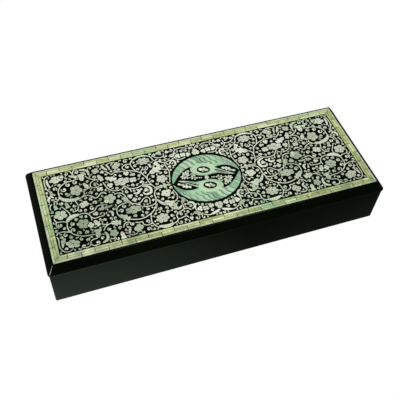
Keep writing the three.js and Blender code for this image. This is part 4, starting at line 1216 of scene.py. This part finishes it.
# Flames: where each leaves the rim, its way inwards from there, and the shift, tone and width of its licks
FLAME_STARTS = (-0.86, -0.66, -0.48, -0.34, -0.2, -0.07, 0.06, 0.2, 0.36, 0.53)
FLAME_WAY = [(0, 0.03), (0.13, -0.12), (0.16, -0.25), (0.28, -0.37), (0.3, -0.48)]
FLAME_LICKS = ((-1.1, 0.28, 2.4), (-0.4, 0.0, 1.1), (0.6, 0.72, 1.2))
# Shaded band, slit and hair lines of the narrow tail, and hair lines round the eye
TAIL_SHADE = [(0.36, 0.17), (0.48, 0.09), (0.62, 0.01), (0.82, -0.12)]
TAIL_SLIT = [(0.31, 0.25), (0.39, 0.2), (0.51, 0.1), (0.66, -0.02)]
TAIL_LINES = [[(0.4, 0.25), (0.5, 0.15), (0.64, 0.03), (0.8, -0.1)],
              [(0.3, 0.19), (0.46, 0.12), (0.62, 0.0), (0.78, -0.11)],
              [(0.2, 0.16), (0.38, 0.1), (0.54, 0.01), (0.7, -0.07)]]
EYE_LINES = [[(-0.28, 0.5), (-0.3, 0.36), (-0.16, 0.22), (0.02, 0.16), (0.22, 0.13)],
             [(-0.22, 0.52), (-0.22, 0.4), (-0.12, 0.3)]]
# Height of the eye, half sizes of its dark ground and of its heart, and its petals from there, in
# millimetres: x, y, half length, half width
EYE_Y = 7.6
EYE_ROOM = (5.0, 3.3)
EYE_HEART = (0.55, 0.4)
EYE_PETALS = ((-1.8, 0.75, 1.7, 1.2), (1.85, -0.8, 1.7, 1.2), (-0.8, -1.15, 0.8, 0.65),
              (0.8, 1.15, 0.8, 0.65))
# Leaves of the spray: x, y, length and width in millimetres, heading
PLUME = [(-0.56, 0.25, 4.2, 1.3, 178), (-0.57, 0.23, 3.6, 1.2, 200), (-0.56, 0.26, 2.9, 1.3, 142),
         (-0.56, 0.26, 4.1, 1.5, 106), (-0.55, 0.26, 4.4, 1.5, 76), (-0.55, 0.26, 3.8, 1.5, 44),
         (-0.54, 0.25, 2.6, 1.4, 8), (-0.55, 0.24, 2.8, 1.3, 282), (-0.57, 0.24, 2.9, 1.3, 234),
         (-0.47, 0.48, 2.2, 1.3, 310), (-0.38, 0.24, 1.6, 1.3, 98), (-0.37, 0.24, 1.5, 1.2, 50),
         (-0.37, 0.23, 2.0, 1.2, 8), (-0.37, 0.22, 2.4, 1.2, 328), (-0.38, 0.22, 2.2, 1.2, 252),
         (-0.44, 0.09, 1.4, 1.1, 350), (-0.37, 0.03, 1.4, 1.1, 10), (-0.3, 0.06, 1.4, 1.1, 20),
         (-0.225, 0.06, 1.3, 1.0, 340), (-0.17, 0.03, 1.1, 0.9, 20)]
SPRAY_STEM = [(-0.58, 0.2), (-0.5, 0.15), (-0.36, 0.12), (-0.16, 0.03)]
# Beads: x, y, half length and half width as shares of the medallion's half length, and how much
# smaller than that they are cut
CLUSTER = [(0.575, 0.235, 0.06, 0.045), (0.655, 0.2, 0.045, 0.06), (0.645, 0.12, 0.035, 0.03),
           (0.725, 0.16, 0.05, 0.045), (0.76, 0.08, 0.05, 0.035), (0.835, 0.03, 0.06, 0.04),
           (0.705, 0.075, 0.025, 0.02)]
BEAD_SHARE = 0.86
STAR_SIZE = (1.95, 1.55)


def placed(points, side):
    """Shares of the medallion's half sizes as places in millimetres. Side is -1 for the front swirl."""
    return [(side * x * MEDALLION_X, side * y * MEDALLION_Y) for x, y in points]


def make_flame(material, depth, side):
    """A swirl of green shell: soft patches, flames from its rim, hair lines, and ground under its eye."""
    swirl = Pattern(21)
    rim_start = 0 if side > 0 else 180
    rim = [(MEDALLION_X * math.cos(a), MEDALLION_Y * math.sin(a))
           for a in (math.radians(rim_start + RIM_SWEEP * i / 60) for i in range(61))]
    outline = rim[::-1]
    for part in (SWIRL_POCKET, SWIRL_TAIL_TOP, SWIRL_TAIL_UNDER, SWIRL_HORN):
        outline += spline(placed(part, side), 0.5)
    befores = outline[-1:] + outline[:-1]
    outline = [point for point, before in zip(outline, befores) if math.dist(point, before) > 0.02]
    swirl.shell(outline, 0.5)
    for x, y, long, wide, turn, tone in SWIRL_TINTS:
        swirl.shell(round_shape(side * x, side * y, long, wide, 30, turn), tone)
    for begin in FLAME_STARTS:
        sway, swell = swirl.dice.uniform(-0.03, 0.03), swirl.dice.uniform(0.8, 1.3)
        way = [(begin + sway + u, math.sqrt(1 - begin * begin) + v) for u, v in FLAME_WAY]
        path = spline(placed(way, side), 0.6)
        last = len(path) - 1
        for shift, tone, broad in FLAME_LICKS:
            lick = [(x + side * shift * swell, y) for x, y in path]
            swirl.strip(lick, [broad * swell * (1 - 0.55 * k / last) for k in range(last + 1)],
                        tone + swirl.dice.uniform(0, 0.15))
    # Light patch round the eye, over the feet of the flames
    swirl.shell(round_shape(side * 0.6, side * 8.4, 8.6, 5.4, 40, -12), 0.72)
    shade = spline(placed(TAIL_SHADE, side), 0.6)
    swirl.strip(shade, tapered(shade, 4.4, 2.8), 0.05)
    for lines, broad in ((TAIL_LINES, 0.36), (EYE_LINES, 0.5)):
        for line in lines:
            path = spline(placed(line, side), 0.6)
            swirl.strip(path, [broad] * len(path), 0.95)
            swirl.strip([(x, y - broad * side) for x, y in path], [0.3] * len(path), 0.05)
    slit = spline(placed(TAIL_SLIT, side), 0.6)
    swirl.groove(slit, tapered(slit, 0.95, 0.6))
    swirl.bare(round_shape(0, side * EYE_Y, *EYE_ROOM, 32, -15))
    lay_on_lid(f"medallion_flame_{depth}", swirl, material, "green_shell", f"medallion_swirl_{depth}",
               trimmed=True)


def make_eye(material, depth, side):
    """Petals round a small heart."""
    eye = Pattern(22)
    for dx, dy, size_x, size_y in EYE_PETALS:
        eye.shell(round_shape(dx, side * EYE_Y + dy, size_x, size_y, 16, -25))
    eye.shell(round_shape(0, side * EYE_Y, *EYE_HEART, 10))
    lay_on_lid(f"eye_petals_{depth}", eye, material, "pale_shell", f"medallion_eye_{depth}")


def make_spray(material, end, side):
    """Small leaves along a stem, each with ground round it."""
    spray = Pattern(23)
    stem = spline(placed(SPRAY_STEM, side), 0.4)
    spray.strip(stem, [0.5] * len(stem), 0.6)
    for u, v, length, width, heading in PLUME:
        turn = heading if side > 0 else heading + 180
        (x, y), = placed([(u, v)], side)
        x, y = place_at(x, y, length / 2, 0, turn)
        spray.bare(round_shape(x, y, length / 2 + 0.3, width / 2 + 0.3, 14, turn))
        spray.shell(round_shape(x, y, length / 2, width / 2, 14, turn), spray.dice.uniform(0.45, 1))
    lay_on_lid(f"medallion_spray_leaves_{end}", spray, material, "pale_shell", f"medallion_spray_{end}")


def make_beads(material, end, side):
    """Cluster of small round pieces."""
    beads = Pattern(24)
    for u, v, size_x, size_y in CLUSTER:
        (x, y), = placed([(u, v)], side)
        half_x, half_y = BEAD_SHARE * size_x * MEDALLION_X, BEAD_SHARE * size_y * MEDALLION_X
        beads.shell(round_shape(x, y, half_x, half_y, 12, -30))
    lay_on_lid(f"medallion_beads_{end}", beads, material, "pale_shell", f"medallion_cluster_{end}")


def make_medallion(green, pale):
    """Two swirls with their eyes, a spray and a cluster at either end, and a star in the middle."""
    for depth, end, other_end, side in (("back", "left", "right", 1), ("front", "right", "left", -1)):
        make_flame(green, depth, side)
        make_eye(pale, depth, side)
        make_spray(pale, end, side)
        make_beads(pale, other_end, side)
    star = Pattern(25)
    star.blossom(0, 0, *STAR_SIZE, 5, 90, 0.2)
    lay_on_lid("medallion_star_flower", star, pale, "pale_shell", "medallion_star")


# ---- Linings

def make_floor_pad(material):
    """Velvet over a thin wadded board: crowned in the middle and rolled over at its edges."""
    pad = start_block("velvet_floor_pad", PAD_LOW, PAD_HIGH)
    half = (PAD_HIGH - PAD_LOW) / 2
    for axis, cuts in enumerate(PAD_CUTS):
        pick(pad, "EDGE", lambda place, along: abs(along[axis]) > 0.5)
        bpy.ops.mesh.subdivide(number_cuts=cuts)
    mesh = bmesh.from_edit_mesh(pad.data)
    for vertex in mesh.verts:
        x, y, z = vertex.co / MM
        fall = 1 - (1 - abs(x / half.x) ** 8) * (1 - abs(y / half.y) ** 3)
        if near(z, PAD_HIGH.z):
            vertex.co.z -= PAD_CROWN * fall * MM
    bmesh.update_edit_mesh(pad.data)
    soften(pad, PAD_CORNER, 4, lambda place, along: upright(place, along)
           and near(abs(place.x), half.x) and near(abs(place.y), half.y))
    soften(pad, PAD_ROLL, 4, lambda place, along: near(place.z, PAD_HIGH.z - PAD_CROWN)
           and (on_outline(place, half)
                or (abs(place.x) > half.x - PAD_CORNER and abs(place.y) > half.y - PAD_CORNER)))
    finish_piece(pad, "base", material, "lining", "base_lining", smooth=60)


def make_lid_cloth(material):
    """Velvet sheet glued under the lid's panel, with a rounded edge."""
    cloth = start_block("velvet_lid_lining", CLOTH_LOW, CLOTH_HIGH)
    soften(cloth, CLOTH_CORNER, 3, lambda place, along: abs(along.z) > 0.2)
    soften(cloth, CLOTH_ARRIS, 2, lambda place, along: near(place.z, CLOTH_LOW.z))
    finish_piece(cloth, "lid", material, "lining", "lid_lining", smooth=60)


clear_selection()
add_camera()
add_stage()
make_shell_fire()
make_shell_tints_and_light()
make_hand_polish()
lacquer = make_lacquer()
shell = {name: make_shell(name, **look) for name, look in SHELLS.items()}
velvet = make_velvet("wine_velvet", (0.10, 0.008, 0.012), (0.22, 0.02, 0.03))

make_base_case(lacquer)
make_lip(lacquer)
make_lid_case(lacquer)
floor_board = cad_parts["base_floor"]
floor_board.data.materials.clear()
floor_board.data.materials.append(lacquer)
make_border(shell["border_shell"], shell["edge_shell"])
make_scroll(shell["pale_shell"])
make_medallion(shell["green_shell"], shell["pale_shell"])
make_floor_pad(velvet)
make_lid_cloth(velvet)
